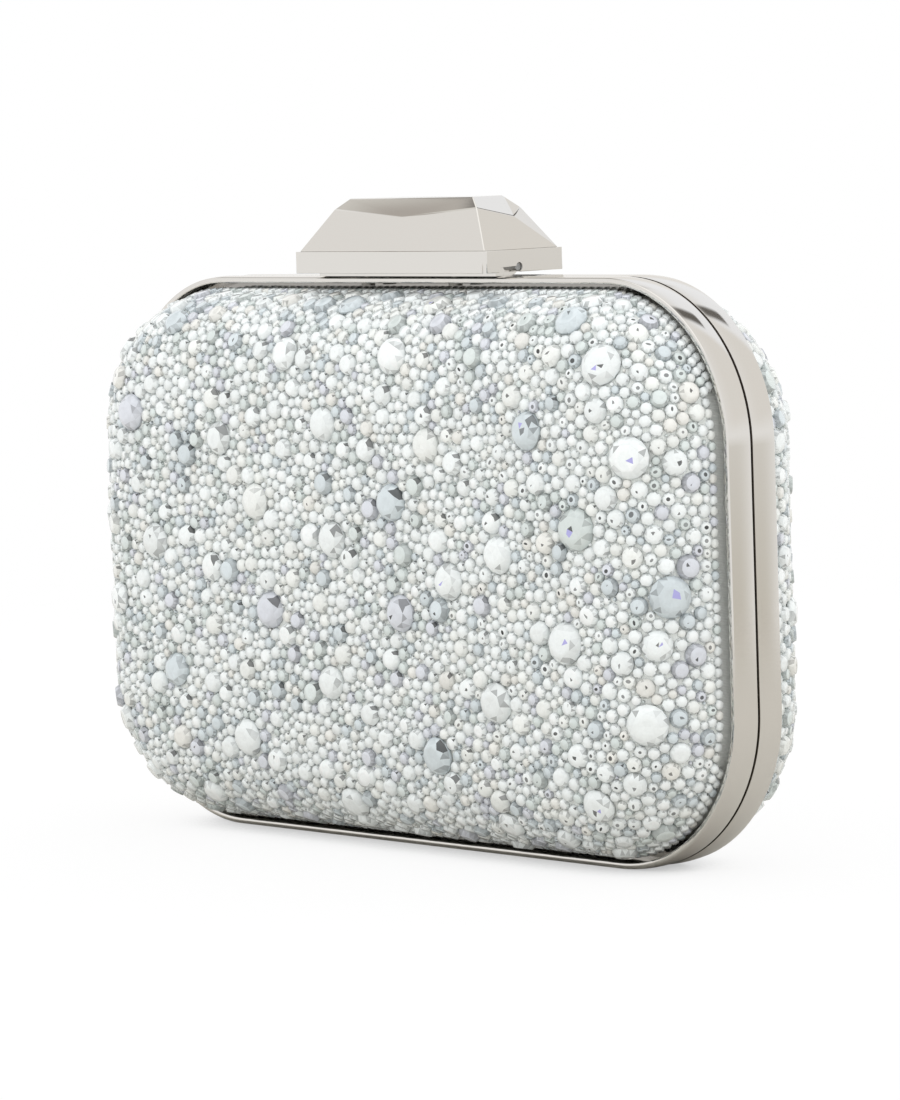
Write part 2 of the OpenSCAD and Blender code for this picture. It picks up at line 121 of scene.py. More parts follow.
@dataclass(frozen=True)
class Finish:
    """A finish that starts as a plain principled surface."""

    name: str
    colour: str
    metallic: float = 0.0
    roughness: float = 0.5

    def material(self) -> bpy.types.Material:
        """Builds the finish's material, or gives the one built before.

        Returns:
            The material.
        """
        made = bpy.data.materials.get(self.name)
        if made is None:
            made = bpy.data.materials.new(self.name)
            made.use_nodes = True
            tree = made.node_tree
            tree.nodes.clear()
            shader = add_node(tree, "ShaderNodeBsdfPrincipled", {
                "Base Color": (*linear(self.colour), 1.0),
                "Metallic": self.metallic,
                "Roughness": self.roughness,
            })
            add_node(tree, "ShaderNodeOutputMaterial", links={"Surface": shader.outputs["BSDF"]})
            self.detail(tree, shader)
        return made

    def detail(self, tree: bpy.types.NodeTree, shader: bpy.types.Node) -> None:
        """Adds the finish's own pattern.

        Args:
            tree: Node tree of the material.
            shader: Its principled surface.
        """

    def graded(
        self, tree: bpy.types.NodeTree, value: bpy.types.NodeSocket,
        tones: tuple[str, str], span: tuple[float, float]
    ) -> bpy.types.NodeSocket:
        """Shades from one colour to another while a value crosses a span.

        Args:
            tree: Node tree of the material.
            value: Value socket.
            tones: Colours at the span's start and end.
            span: Values at which the two colours are reached.

        Returns:
            Colour socket.
        """
        part = add_node(tree, "ShaderNodeMapRange", {
            "From Min": span[0], "From Max": span[1],
        }, {"Value": value})
        low, high = ((*linear(tone), 1.0) for tone in tones)
        return add_node(tree, "ShaderNodeMix", {
            "data_type": "RGBA", 6: low, 7: high,
        }, {0: part.outputs["Result"]}).outputs[2]


@dataclass(frozen=True)
class PolishedNickel(Finish):
    """Polished nickel plate on die-cast zinc: a soft mirror with faint polishing haze.

    The channel behind the rim and the parting faces are painted dark: painted shade in the channel
    and between the halves.
    """

    haze_mm: float = 9.0
    haze: tuple[float, float] = (0.04, 0.1)
    hairline_mm: float = 0.35
    hairline_depth_mm: float = 0.02
    # Colour of the painted shade in the channel and at the parting
    painted_dark: str = "#39342d"

    def detail(self, tree: bpy.types.NodeTree, shader: bpy.types.Node) -> None:
        """Adds the haze and the fine hairlines of polishing, and the painted shade at the parting
        and in the channel.

        Args:
            tree: Node tree of the material.
            shader: Its principled surface.
        """
        place = add_node(tree, "ShaderNodeTexCoord").outputs["Object"]
        haze = add_node(tree, "ShaderNodeTexNoise", {
            "Scale": 1 / (self.haze_mm * MM), "Detail": 3.0, "Roughness": 0.55,
        }, {"Vector": place})
        rough = add_node(tree, "ShaderNodeMapRange", {
            "From Min": 0.3, "From Max": 0.7, "To Min": self.haze[0], "To Max": self.haze[1],
        }, {"Value": haze.outputs["Fac"]})
        tree.links.new(rough.outputs["Result"], shader.inputs["Roughness"])
        stretch = add_node(tree, "ShaderNodeMapping", {"Scale": (0.12, 1.0, 1.0)},
                           {"Vector": place})
        lines = add_node(tree, "ShaderNodeTexNoise", {
            "Scale": 1 / (self.hairline_mm * MM), "Detail": 2.0,
        }, {"Vector": stretch.outputs["Vector"]})
        bump = add_node(tree, "ShaderNodeBump", {
            "Strength": 0.04, "Distance": self.hairline_depth_mm * MM,
        }, {"Height": lines.outputs["Fac"]})
        tree.links.new(bump.outputs["Normal"], shader.inputs["Normal"])
        # Painted shade: a face attribute darkens the parting and the channel's web
        painted_dark = add_node(tree, "ShaderNodeAttribute", {"attribute_name": PAINTED_SHADE_LAYER})
        plate_and_shade = add_node(tree, "ShaderNodeMix", {
            "data_type": "RGBA", 6: (*linear(self.colour), 1.0), 7: (*linear(self.painted_dark), 1.0),
        }, {0: painted_dark.outputs["Fac"]})
        tree.links.new(plate_and_shade.outputs[2], shader.inputs["Base Color"])


@dataclass(frozen=True)
class PlainSteel(Finish):
    """Drawn steel of the small inner parts: fine lines and a grey, duller gloss."""

    line_mm: float = 0.25
    line_depth_mm: float = 0.02
    tones: tuple[str, str] = ("#8e8f90", "#b4b5b5")
    gloss: tuple[float, float] = (0.28, 0.42)

    def detail(self, tree: bpy.types.NodeTree, shader: bpy.types.Node) -> None:
        """Adds the drawing lines and the uneven dullness.

        Args:
            tree: Node tree of the material.
            shader: Its principled surface.
        """
        place = add_node(tree, "ShaderNodeTexCoord").outputs["Object"]
        stretch = add_node(tree, "ShaderNodeMapping", {"Scale": (0.1, 1.0, 1.0)},
                           {"Vector": place})
        lines = add_node(tree, "ShaderNodeTexNoise", {
            "Scale": 1 / (self.line_mm * MM), "Detail": 3.0,
        }, {"Vector": stretch.outputs["Vector"]})
        colour = self.graded(tree, lines.outputs["Fac"], self.tones, (0.3, 0.7))
        tree.links.new(colour, shader.inputs["Base Color"])
        rough = add_node(tree, "ShaderNodeMapRange", {
            "To Min": self.gloss[0], "To Max": self.gloss[1],
        }, {"Value": lines.outputs["Fac"]})
        tree.links.new(rough.outputs["Result"], shader.inputs["Roughness"])
        bump = add_node(tree, "ShaderNodeBump", {
            "Strength": 0.15, "Distance": self.line_depth_mm * MM,
        }, {"Height": lines.outputs["Fac"]})
        tree.links.new(bump.outputs["Normal"], shader.inputs["Normal"])


@dataclass(frozen=True)
class MouldedShell(Finish):
    """Injection-moulded ABS with a spark-eroded grain: dark, matt and slightly speckled."""

    grain_mm: float = 0.4
    grain_depth_mm: float = 0.03
    tones: tuple[str, str] = ("#3b3b3d", "#4a4a4c")

    def detail(self, tree: bpy.types.NodeTree, shader: bpy.types.Node) -> None:
        """Adds the moulded grain.

        Args:
            tree: Node tree of the material.
            shader: Its principled surface.
        """
        place = add_node(tree, "ShaderNodeTexCoord").outputs["Object"]
        grain = add_node(tree, "ShaderNodeTexNoise", {
            "Scale": 1 / (self.grain_mm * MM), "Detail": 2.0,
        }, {"Vector": place})
        colour = self.graded(tree, grain.outputs["Fac"], self.tones, (0.3, 0.7))
        tree.links.new(colour, shader.inputs["Base Color"])
        bump = add_node(tree, "ShaderNodeBump", {
            "Strength": 0.4, "Distance": self.grain_depth_mm * MM,
        }, {"Height": grain.outputs["Fac"]})
        tree.links.new(bump.outputs["Normal"], shader.inputs["Normal"])


@dataclass(frozen=True)
class LiningLeather(Finish):
    """Thin split leather, pearl grey: a fine pebble grain with a soft sheen."""

    pebble_mm: float = 1.1
    pebble_depth_mm: float = 0.06
    cloud_mm: float = 18.0
    dye: tuple[str, str] = ("#85878e", "#9a9ca3")
    crease: tuple[str, str] = ("#b4b4b8", "#ffffff")
    sheen: float = 0.08

    def detail(self, tree: bpy.types.NodeTree, shader: bpy.types.Node) -> None:
        """Adds the pebbles, the cloudy dye, and a colour that darkens along the creases between the
        pebbles.

        Args:
            tree: Node tree of the material.
            shader: Its principled surface.
        """
        place = add_node(tree, "ShaderNodeTexCoord").outputs["Object"]
        pebbles = add_node(tree, "ShaderNodeTexVoronoi", {
            "feature": "DISTANCE_TO_EDGE", "Scale": 1 / (self.pebble_mm * MM),
        }, {"Vector": place})
        clouds = add_node(tree, "ShaderNodeTexNoise", {
            "Scale": 1 / (self.cloud_mm * MM), "Detail": 4.0,
        }, {"Vector": place})
        colour = self.graded(tree, clouds.outputs["Fac"], self.dye, (0.35, 0.65))
        crease = self.graded(tree, pebbles.outputs["Distance"], self.crease, (0.0, 0.12))
        # The colour darkens along the creases between the pebbles
        leather_colour = add_node(tree, "ShaderNodeMix", {
            "data_type": "RGBA", "blend_type": "MULTIPLY", 0: 1.0,
        }, {6: colour, 7: crease})
        tree.links.new(leather_colour.outputs[2], shader.inputs["Base Color"])
        bump = add_node(tree, "ShaderNodeBump", {
            "Strength": 0.5, "Distance": self.pebble_depth_mm * MM,
        }, {"Height": pebbles.outputs["Distance"]})
        tree.links.new(bump.outputs["Normal"], shader.inputs["Normal"])
        shader.inputs["Sheen Weight"].default_value = self.sheen


@dataclass(frozen=True)
class CarrierCloth(Finish):
    """Pale mesh cloth that the crystals are glued to: plain threads with a glaze of glue."""

    thread_mm: float = 0.45
    thread_depth_mm: float = 0.1
    tones: tuple[str, str] = ("#e8ece9", "#fafdfb")

    def detail(self, tree: bpy.types.NodeTree, shader: bpy.types.Node) -> None:
        """Adds the threads, drawn as coarse as a render of the whole bag can show.

        Args:
            tree: Node tree of the material.
            shader: Its principled surface.
        """
        place = add_node(tree, "ShaderNodeTexCoord").outputs["Object"]
        rows = []
        for direction in ("X", "Z"):
            rows.append(add_node(tree, "ShaderNodeTexWave", {
                "wave_type": "BANDS", "bands_direction": direction,
                "Scale": 0.5 / (self.thread_mm * MM), "Distortion": 0.6, "Detail": 1.0,
            }, {"Vector": place}).outputs["Fac"])
        weave = add_node(tree, "ShaderNodeMath", {"operation": "MULTIPLY"},
                         {0: rows[0], 1: rows[1]})
        colour = self.graded(tree, weave.outputs["Value"], self.tones, (0.0, 0.7))
        tree.links.new(colour, shader.inputs["Base Color"])
        bump = add_node(tree, "ShaderNodeBump", {
            "Strength": 0.5, "Distance": self.thread_depth_mm * MM,
        }, {"Height": weave.outputs["Value"]})
        tree.links.new(bump.outputs["Normal"], shader.inputs["Normal"])


@dataclass(frozen=True)
class FoiledGlass(Finish):
    """Cut glass on a silver foil: pale, near opaque; each facet's tone is a painted reflection."""

    speck_mm: float = 0.5
    mottling: tuple[str, str] = ("#f7fafa", "#fcffff")
    glass_ior: float = 1.55
    coat: float = 0.5
    coat_roughness: float = 0.06

    def detail(self, tree: bpy.types.NodeTree, shader: bpy.types.Node) -> None:
        """Takes each facet's tint and painted reflection from the mesh and mottles it as foil
        behind glass does.

        Args:
            tree: Node tree of the material.
            shader: Its principled surface.
        """
        place = add_node(tree, "ShaderNodeTexCoord").outputs["Object"]
        tint = add_node(tree, "ShaderNodeAttribute", {"attribute_name": COLOUR_AND_REFLECTION_LAYER})
        specks = add_node(tree, "ShaderNodeTexNoise", {
            "Scale": 1 / (self.speck_mm * MM), "Detail": 3.0,
        }, {"Vector": place})
        mottle = self.graded(tree, specks.outputs["Fac"], self.mottling, (0.3, 0.6))
        glass = add_node(tree, "ShaderNodeMix", {
            "data_type": "RGBA", "blend_type": "MULTIPLY", 0: 1.0,
        }, {6: tint.outputs["Color"], 7: mottle})
        tree.links.new(glass.outputs[2], shader.inputs["Base Color"])
        shader.inputs["IOR"].default_value = self.glass_ior
        shader.inputs["Coat Weight"].default_value = self.coat
        shader.inputs["Coat Roughness"].default_value = self.coat_roughness


NICKEL = PolishedNickel("polished_nickel_plate", "#dedbd6", 1.0, 0.07)
STEEL = PlainSteel("bright_drawn_steel", "#a0a1a1", 1.0, 0.35)
RIVET = PlainSteel("dull_rivet_steel", "#84817b", 1.0, 0.4, tones=("#74716c", "#8f8c86"))
SHELL = MouldedShell("moulded_abs", "#434345", 0.0, 0.6)
LEATHER = LiningLeather("pearl_grey_split_leather", "#90929a", 0.0, 0.5)
CLOTH = CarrierCloth("pale_mesh_cloth", "#e0e2dc", 0.0, 0.7)
GLASS = FoiledGlass("foiled_cut_glass", "#f0f0ee", 0.03, 0.1)


@dataclass(frozen=True)
class Outline:
    """The outline of the two frames, a rounded rectangle, in millimetres."""

    frame_w: float = 165.0
    frame_h: float = 107.5
    corner_r: float = 30.0
    foot_flat: float = 0.1
    corner_steps: int = 30

    @property
    def span_x(self) -> float:
        """Straight run of the top and bottom sides."""
        return self.frame_w - 2 * self.corner_r

    @property
    def span_z(self) -> float:
        """Straight run of the left and right sides."""
        return self.frame_h - 2 * self.corner_r

    @property
    def centre_z(self) -> float:
        """Height of the outline's middle above the ground."""
        return self.frame_h / 2 - self.foot_flat

    @property
    def top(self) -> float:
        """Height of the frames' top above the ground."""
        return self.frame_h - self.foot_flat

    def start(self, inset: float, depth: float) -> Vector:
        """Place of a section's point at the left end of the top side.

        Args:
            inset: Distance inside the outline.
            depth: Distance in front of the parting plane.

        Returns:
            The point.
        """
        return Vector((-self.span_x / 2, -depth, self.centre_z + self.frame_h / 2 - inset))

    def sweep(self, bm: bmesh.types.BMesh) -> None:
        """Carries the section in a mesh once round the outline, and closes the ring.

        Args:
            bm: Mesh that holds nothing but the section's edges, at the start place.
        """
        run = list(bm.edges)
        corner = Vector((self.span_x / 2, 0, self.span_z / 2))
        turn = Matrix.Rotation(math.pi / 2, 3, "Y")
        along = Vector((1, 0, 0))
        for length in (self.span_x, self.span_z) * 2:
            made = bmesh.ops.extrude_edge_only(bm, edges=run)["geom"]
            ends = {v for v in made if isinstance(v, bmesh.types.BMVert)}
            bmesh.ops.translate(bm, verts=list(ends), vec=along * length)
            run = [e for e in bm.edges if all(v in ends for v in e.verts)]
            last = bmesh.ops.spin(
                bm, geom=run, cent=corner + Vector((0, 0, self.centre_z)), axis=(0, 1, 0),
                angle=math.pi / 2, steps=self.corner_steps, use_merge=False,
            )["geom_last"]
            run = [e for e in last if isinstance(e, bmesh.types.BMEdge)]
            along = turn @ along
            upright = abs(along.z) > abs(along.x)
            corner = Vector((corner.x if upright else -corner.x, 0,
                             -corner.z if upright else corner.z))
        bmesh.ops.remove_doubles(bm, verts=bm.verts, dist=WELD)
        bmesh.ops.recalc_face_normals(bm, faces=bm.faces)


OUTLINE = Outline()


def finish_mesh(bm: bmesh.types.BMesh, name: str, scale: float = MM) -> bpy.types.Mesh:
    """Turns a finished bmesh into mesh data in metres.

    Args:
        bm: Mesh, freed afterwards.
        name: Name of the mesh data.
        scale: Length of the bmesh's unit in metres.

    Returns:
        The mesh data.
    """
    bmesh.ops.scale(bm, vec=(scale,) * 3, verts=bm.verts)
    data = bpy.data.meshes.new(name)
    bm.to_mesh(data)
    bm.free()
    return data


def mark_edges(bm: bmesh.types.BMesh, degrees: float = 28.0) -> None:
    """Shades a mesh smooth and keeps the edges that are sharper than an angle crisp.

    Args:
        bm: Mesh.
        degrees: Largest angle between faces that still reads as smooth.
    """
    limit = math.radians(degrees)
    for face in bm.faces:
        face.smooth = True
    for edge in bm.edges:
        edge.smooth = edge.is_manifold and edge.calc_face_angle(0.0) < limit


def add_piece(
    data: bpy.types.Mesh, body: Body, finish: Finish, stands_for: Iterable[str] = ()
) -> bpy.types.Object:
    """Puts a mesh into the scene as a piece of the bag.

    Args:
        data: Mesh data in metres, named as the piece is to be.
        body: Body that the piece rides on.
        finish: Its finish.
        stands_for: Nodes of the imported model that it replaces.

    Returns:
        The new object.
    """
    piece = bpy.data.objects.new(data.name, data)
    bpy.context.scene.collection.objects.link(piece)
    data.materials.clear()
    data.materials.append(finish.material())
    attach(piece, body.value)
    nodes = list(stands_for)
    if nodes:
        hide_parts(*nodes)
    LOG.info("%s: %d faces, rides on %s", data.name, len(data.polygons), body.value)
    return piece


def dress_nodes(names: Iterable[str], finish: Finish) -> None:
    """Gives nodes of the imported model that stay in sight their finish.

    Args:
        names: Names of the nodes.
        finish: Their finish.
    """
    for name in names:
        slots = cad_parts[name].data.materials
        slots.clear()
        slots.append(finish.material())


def carve(data: bpy.types.Mesh, cutter: bmesh.types.BMesh) -> bpy.types.Mesh:
    """Cuts a mesh with another.

    Args:
        data: Mesh that is cut, in metres.
        cutter: Closed volumes in millimetres, freed afterwards; they may overlap.

    Returns:
        The cut mesh, under the same name.
    """
    name = data.name
    tool = bpy.data.objects.new("cutter", finish_mesh(cutter, "cutter"))
    work = bpy.data.objects.new("work", data)
    for thing in (tool, work):
        bpy.context.scene.collection.objects.link(thing)
    cut = work.modifiers.new("cut", "BOOLEAN")
    cut.operation, cut.solver, cut.object, cut.use_self = "DIFFERENCE", "EXACT", tool, True
    bpy.context.view_layer.update()
    graph = bpy.context.evaluated_depsgraph_get()
    made = bpy.data.meshes.new_from_object(work.evaluated_get(graph))
    for thing in (tool, work):
        spent = thing.data
        bpy.data.objects.remove(thing)
        bpy.data.meshes.remove(spent)
    made.name = name
    return made


def add_prism(
    bm: bmesh.types.BMesh, section: Iterable[tuple[float, float]], start: float, length: float
) -> None:
    """Adds a bar along X with the given section.

    Args:
        bm: Mesh that takes the bar.
        section: Corners of the section as (y, z).
        start: X at the bar's left end.
        length: Length of the bar.
    """
    base = bm.faces.new([bm.verts.new((start, y, z)) for y, z in section])
    grown = bmesh.ops.extrude_face_region(bm, geom=[base])["geom"]
    ends = [v for v in grown if isinstance(v, bmesh.types.BMVert)]
    bmesh.ops.translate(bm, verts=ends, vec=(length, 0, 0))


def add_post(
    bm: bmesh.types.BMesh, x: float, y: float, low: float, high: float, r: float, sides: int = 32
) -> None:
    """Adds an upright cylinder.

    Args:
        bm: Mesh that takes the cylinder.
        x: Place of its axis across the bag.
        y: Place of its axis from front to back.
        low: Height of its lower end.
        high: Height of its upper end.
        r: Its radius.
        sides: Number of its sides.
    """
    bmesh.ops.create_cone(
        bm, cap_ends=True, segments=sides, radius1=r, radius2=r, depth=high - low,
        matrix=Matrix.Translation((x, y, (low + high) / 2)),
    )


@dataclass(frozen=True)
class Hinge:
    """Knuckles along the bottom, and the room that each half leaves for them."""

    length: float = 64.0
    count: int = 5
    knuckle_r: float = 1.2
    lift: float = 0.1
    end_gap: float = 0.2
    clear: float = 0.15
    box_share: float = 0.9
    half_swing: float = 39.5
    over: float = 1.0
    gutter_points: int = 25

    @property
    def axis_z(self) -> float:
        """Height of the hinge's axis."""
        return self.knuckle_r + self.lift

    def add_gutters(self, bm: bmesh.types.BMesh, own: int) -> None:
        """Adds the cutters for every knuckle.

        Args:
            bm: Mesh that takes the cutters.
            own: 0 for the half with the even knuckles, 1 for the other.
        """
        step = (self.length + self.end_gap) / self.count
        low = math.acos(self.box_share)
        for i in range(self.count):
            theirs = i % 2 != own
            r = self.knuckle_r + (self.clear if theirs else 0.0)
            spare = self.end_gap * (1.0 if theirs else 0.5)
            turns = np.linspace(-low, math.pi + low, self.gutter_points)
            section = [(r * math.cos(a), self.axis_z + r * math.sin(a)) for a in turns]
            section += [(-self.box_share * r, -self.over), (self.box_share * r, -self.over)]
            add_prism(bm, section, -self.length / 2 + i * step - spare,
                      step - self.end_gap + 2 * spare)

    def add_bevels(self, bm: bmesh.types.BMesh) -> None:
        """Adds the wedge below the axis that lets the lower edges pass each other.

        Args:
            bm: Mesh that takes the cutter.
        """
        drop = self.axis_z + self.over
        reach = drop * math.tan(math.radians(self.half_swing))
        add_prism(bm, [(0, self.axis_z), (-reach, -self.over), (reach, -self.over)],
                  -OUTLINE.frame_w, 2 * OUTLINE.frame_w)


@dataclass
class Band:
    """One half's metal frame: a crowned band, its rolled rim and the flange behind it."""

    body: Body
    band_d: float = 6.1
    low: float = 0.1
    lip_t: float = 1.3
    web_w: float = 6.5
    web_face: float = 1.5
    crown: float = 0.2
    edge_r: float = 0.3
    edge_cuts: int = 5
    rim_chamfer: float = 0.2
    rim_cuts: int = 2
    crown_cuts: int = 11
    # Painted shade: the rounded edge by the parting plane is painted fully dark, the flat parting
    # face and the web's face partly
    parting_d: float = 0.28
    parting_shade: float = 0.3
    web_shade: float = 0.55
    level_from: float = 0.9
    hinge: Hinge = field(default_factory=Hinge)
    notch_w: float = 14.0
    notch_y: float = 4.0
    notch_drop: float = 2.4
    hole_r: float = 0.75
    catch_hole: tuple[float, float] = (9.6, 4.1)
    bracket_hole: tuple[float, float] = (12.0, -4.25)

    @property
    def rear(self) -> bool:
        """Whether this is the rear half's frame."""
        return self.body is Body.REAR

    def section(self) -> bmesh.types.BMesh:
        """Draws the band's section: bevelled corners and a crowned outer edge.

        Returns:
            Mesh with the section's edges at the start of the outline.
        """
        bm = bmesh.new()
        corners = [(self.crown, self.low), (self.crown, self.band_d), (self.lip_t, self.band_d),
                   (self.lip_t, self.web_face), (self.web_w, self.web_face),
                   (self.web_w, self.low)]
        verts = [bm.verts.new(OUTLINE.start(*corner)) for corner in corners]
        face = bm.faces.new(verts)
        for geom, offset, segments in ((verts[:2], self.edge_r, self.edge_cuts),
                                       (verts[2:3], self.rim_chamfer, self.rim_cuts)):
            bmesh.ops.bevel(bm, geom=geom, offset=offset, offset_type="OFFSET",
                            affect="VERTICES", segments=segments, profile=0.5, material=-1)
        bmesh.ops.delete(bm, geom=list(bm.faces), context="FACES_ONLY")
        outer = max(bm.edges, key=lambda e: (e.verts[0].co.z + e.verts[1].co.z) / 2
                    + TIGHT * e.calc_length())
        bmesh.ops.subdivide_edges(bm, edges=[outer], cuts=self.crown_cuts)
        middle = (self.low + self.band_d) / 2
        reach = (self.band_d - self.low) / 2 - self.edge_r
        top = max(v.co.z for v in bm.verts)
        for vert in bm.verts:
            if top - vert.co.z < TIGHT:
                vert.co.z += self.crown * (1 - ((-vert.co.y - middle) / reach) ** 2)
        return bm

    def cutter(self) -> bmesh.types.BMesh:
        """Gathers what is cut out of the band.

        Returns:
            Closed volumes for the foot's flat, the hinge, and the catch or bracket.
        """
        bm = bmesh.new()
        wide, over = OUTLINE.frame_w, self.hinge.over
        add_prism(bm, [(-wide, 0), (-wide, -wide), (wide, -wide), (wide, 0)], -wide, 2 * wide)
        self.hinge.add_bevels(bm)
        self.hinge.add_gutters(bm, int(self.rear))
        if self.rear:
            low, high = OUTLINE.top - self.notch_drop, OUTLINE.top + over
            add_prism(bm, [(-over, low), (self.notch_y, low), (self.notch_y, high),
                           (-over, high)], -self.notch_w / 2, self.notch_w)
        x, y = self.catch_hole if self.rear else self.bracket_hole
        for turned in (-1, 1):
            add_post(bm, turned * x, y, OUTLINE.top - self.lip_t - over, OUTLINE.top + over,
                     self.hole_r)
        bmesh.ops.recalc_face_normals(bm, faces=bm.faces)
        return bm

    def build(self) -> None:
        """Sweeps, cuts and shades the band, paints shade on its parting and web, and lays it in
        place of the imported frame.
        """
        side = "rear" if self.rear else "front"
        bm = self.section()
        OUTLINE.sweep(bm)
        if self.rear:
            bmesh.ops.scale(bm, vec=(1, -1, 1), verts=bm.verts)
            bmesh.ops.recalc_face_normals(bm, faces=bm.faces)
        data = carve(finish_mesh(bm, f"{side}_band"), self.cutter())
        bm = bmesh.new()
        bm.from_mesh(data)
        bmesh.ops.dissolve_degenerate(bm, edges=bm.edges, dist=TIGHT * MM)
        mark_edges(bm)
        # Painted shade in the gap between the halves and on the channel's web, stored as a face
        # attribute
        painted_dark = bm.faces.layers.float.new(PAINTED_SHADE_LAYER)
        for face in bm.faces:
            depth = abs(face.calc_center_median().y) / MM
            level = abs(face.normal.y) > self.level_from
            if depth < self.parting_d:
                face[painted_dark] = self.parting_shade if level else 1.0
            elif level and abs(depth - self.web_face) < WELD:
                face[painted_dark] = self.web_shade
        bm.to_mesh(data)
        bm.free()
        add_piece(data, self.body, NICKEL, [f"{side}_frame"])


@dataclass(frozen=True)
class Dome:
    """The dome's shape: a straight foot, a rounded edge and a slightly crowned face."""

    top: float = 22.5
    radius: float = 15.0
    crown: float = 1.1
    foot: float = 2.8
    turn: float = 80.0
    turn_steps: int = 20
    rise_steps: int = 8
    pave_t: float = 0.9
    pave_start: float = 5.2
    web_face: float = 1.5
    fine_steps: int = 400

    @property
    def axis(self) -> float:
        """Height of the rounded edge's axis above the parting plane."""
        return self.top - self.crown - self.radius * math.sin(math.radians(self.turn))

    @property
    def centre(self) -> float:
        """Distance of that axis outside the corner's centre."""
        return OUTLINE.corner_r - self.foot - self.radius

    def far(self, depth: float) -> float:
        """Distance from the corner's centre to where the crowned face begins."""
        return self.centre + (self.radius - depth) * math.cos(math.radians(self.turn))

    def brow(self, depth: float) -> float:
        """Height at which the crowned face begins."""
        return self.axis + (self.radius - depth) * math.sin(math.radians(self.turn))

    def section(self, depth: float) -> list[tuple[float, float]]:
        """Draws the dome's section at a depth below the paving's face.

        Args:
            depth: Depth below the paving's face.

        Returns:
            Points as (inset, height), from the foot to the flat middle.
        """
        reach = self.radius - depth
        points = [(self.foot + depth, self.web_face)]
        for a in np.radians(np.linspace(0, self.turn, self.turn_steps + 1)):
            points.append((self.foot + self.radius - reach * math.cos(a),
                           self.axis + reach * math.sin(a)))
        for s in np.linspace(1, 0, self.rise_steps + 1)[1:]:
            points.append((OUTLINE.corner_r - s * self.far(depth),
                           self.brow(depth) + self.crown * (1 - s * s)))
        return points

    def developed(self, depth: float) -> float:
        """Measures the section along the surface, at a depth below the paving's face."""
        points = self.section(depth)
        return float(sum(math.dist(a, b) for a, b in zip(points, points[1:])))

    def sheet(self, name: str, depth: float, rear: bool) -> tuple[bpy.types.Mesh, float]:
        """Sweeps one surface of the dome and closes its flat middle.

        Args:
            name: Name of the mesh data.
            depth: Depth below the paving's face.
            rear: Whether it lies on the rear half.

        Returns:
            Mesh data in metres, and its area in square metres.
        """
        bm = bmesh.new()
        verts = [bm.verts.new(OUTLINE.start(*point)) for point in self.section(depth)]
        for a, b in zip(verts, verts[1:]):
            bm.edges.new((a, b))
        OUTLINE.sweep(bm)
        high = self.brow(depth) + self.crown
        rim = [e for e in bm.edges if e.is_boundary
               and all(abs(-v.co.y - high) < TIGHT for v in e.verts)]
        bmesh.ops.contextual_create(bm, geom=rim)
        if rear:
            bmesh.ops.scale(bm, vec=(1, -1, 1), verts=bm.verts)
        bmesh.ops.recalc_face_normals(bm, faces=bm.faces)
        middle = max(bm.faces, key=lambda f: f.calc_area())
        if (middle.normal.y > 0) != rear:
            bmesh.ops.reverse_faces(bm, faces=bm.faces)
        mark_edges(bm)
        area = sum(f.calc_area() for f in bm.faces) * MM * MM
        return finish_mesh(bm, name), area

    def rest(self, places: np.ndarray, depth: float) -> tuple[np.ndarray, np.ndarray]:
        """Drops places onto the dome.

        Args:
            places: Rows of (x, height above the parting plane, z from the outline's middle).
            depth: Depth of the surface below the paving's face.

        Returns:
            The nearest places on the surface, and its outward directions there.
        """
        half = np.array([OUTLINE.span_x / 2, OUTLINE.span_z / 2])
        plan = places[:, [0, 2]]
        core = np.clip(plan, -half, half)
        out = plan - core
        d = np.linalg.norm(out, axis=1)
        ray = np.where(d[:, None] > TIGHT, out / np.maximum(d, TIGHT)[:, None], [[0.0, 1.0]])
        reach = self.radius - depth
        far, brow = self.far(depth), self.brow(depth)
        angle = np.arctan2(places[:, 1] - self.axis, d - self.centre)
        on_face = (d <= far) | (angle > math.radians(self.turn))
        on_foot = ~on_face & (places[:, 1] < self.axis)
        angle = np.clip(angle, 0.0, math.radians(self.turn))
        s = np.minimum(d / far, 1.0)
        slope = 2 * self.crown * s / far
        steep = np.hypot(slope, 1)

        def chosen(face: np.ndarray, foot: np.ndarray | float, edge: np.ndarray) -> np.ndarray:
            """Picks each place's value by where it lies: on the face, the foot or the edge."""
            return np.where(on_face, face, np.where(on_foot, foot, edge))

        off = chosen(s * far, self.centre + reach, self.centre + reach * np.cos(angle))
        high = chosen(brow + self.crown * (1 - s * s), places[:, 1],
                      self.axis + reach * np.sin(angle))
        outward = chosen(slope / steep, 1.0, np.cos(angle))
        upward = chosen(1 / steep, 0.0, np.sin(angle))
        laid = np.column_stack([core[:, 0] + ray[:, 0] * off, high, core[:, 1] + ray[:, 1] * off])
        facing = np.column_stack([ray[:, 0] * outward, upward, ray[:, 1] * outward])
        return laid, facing

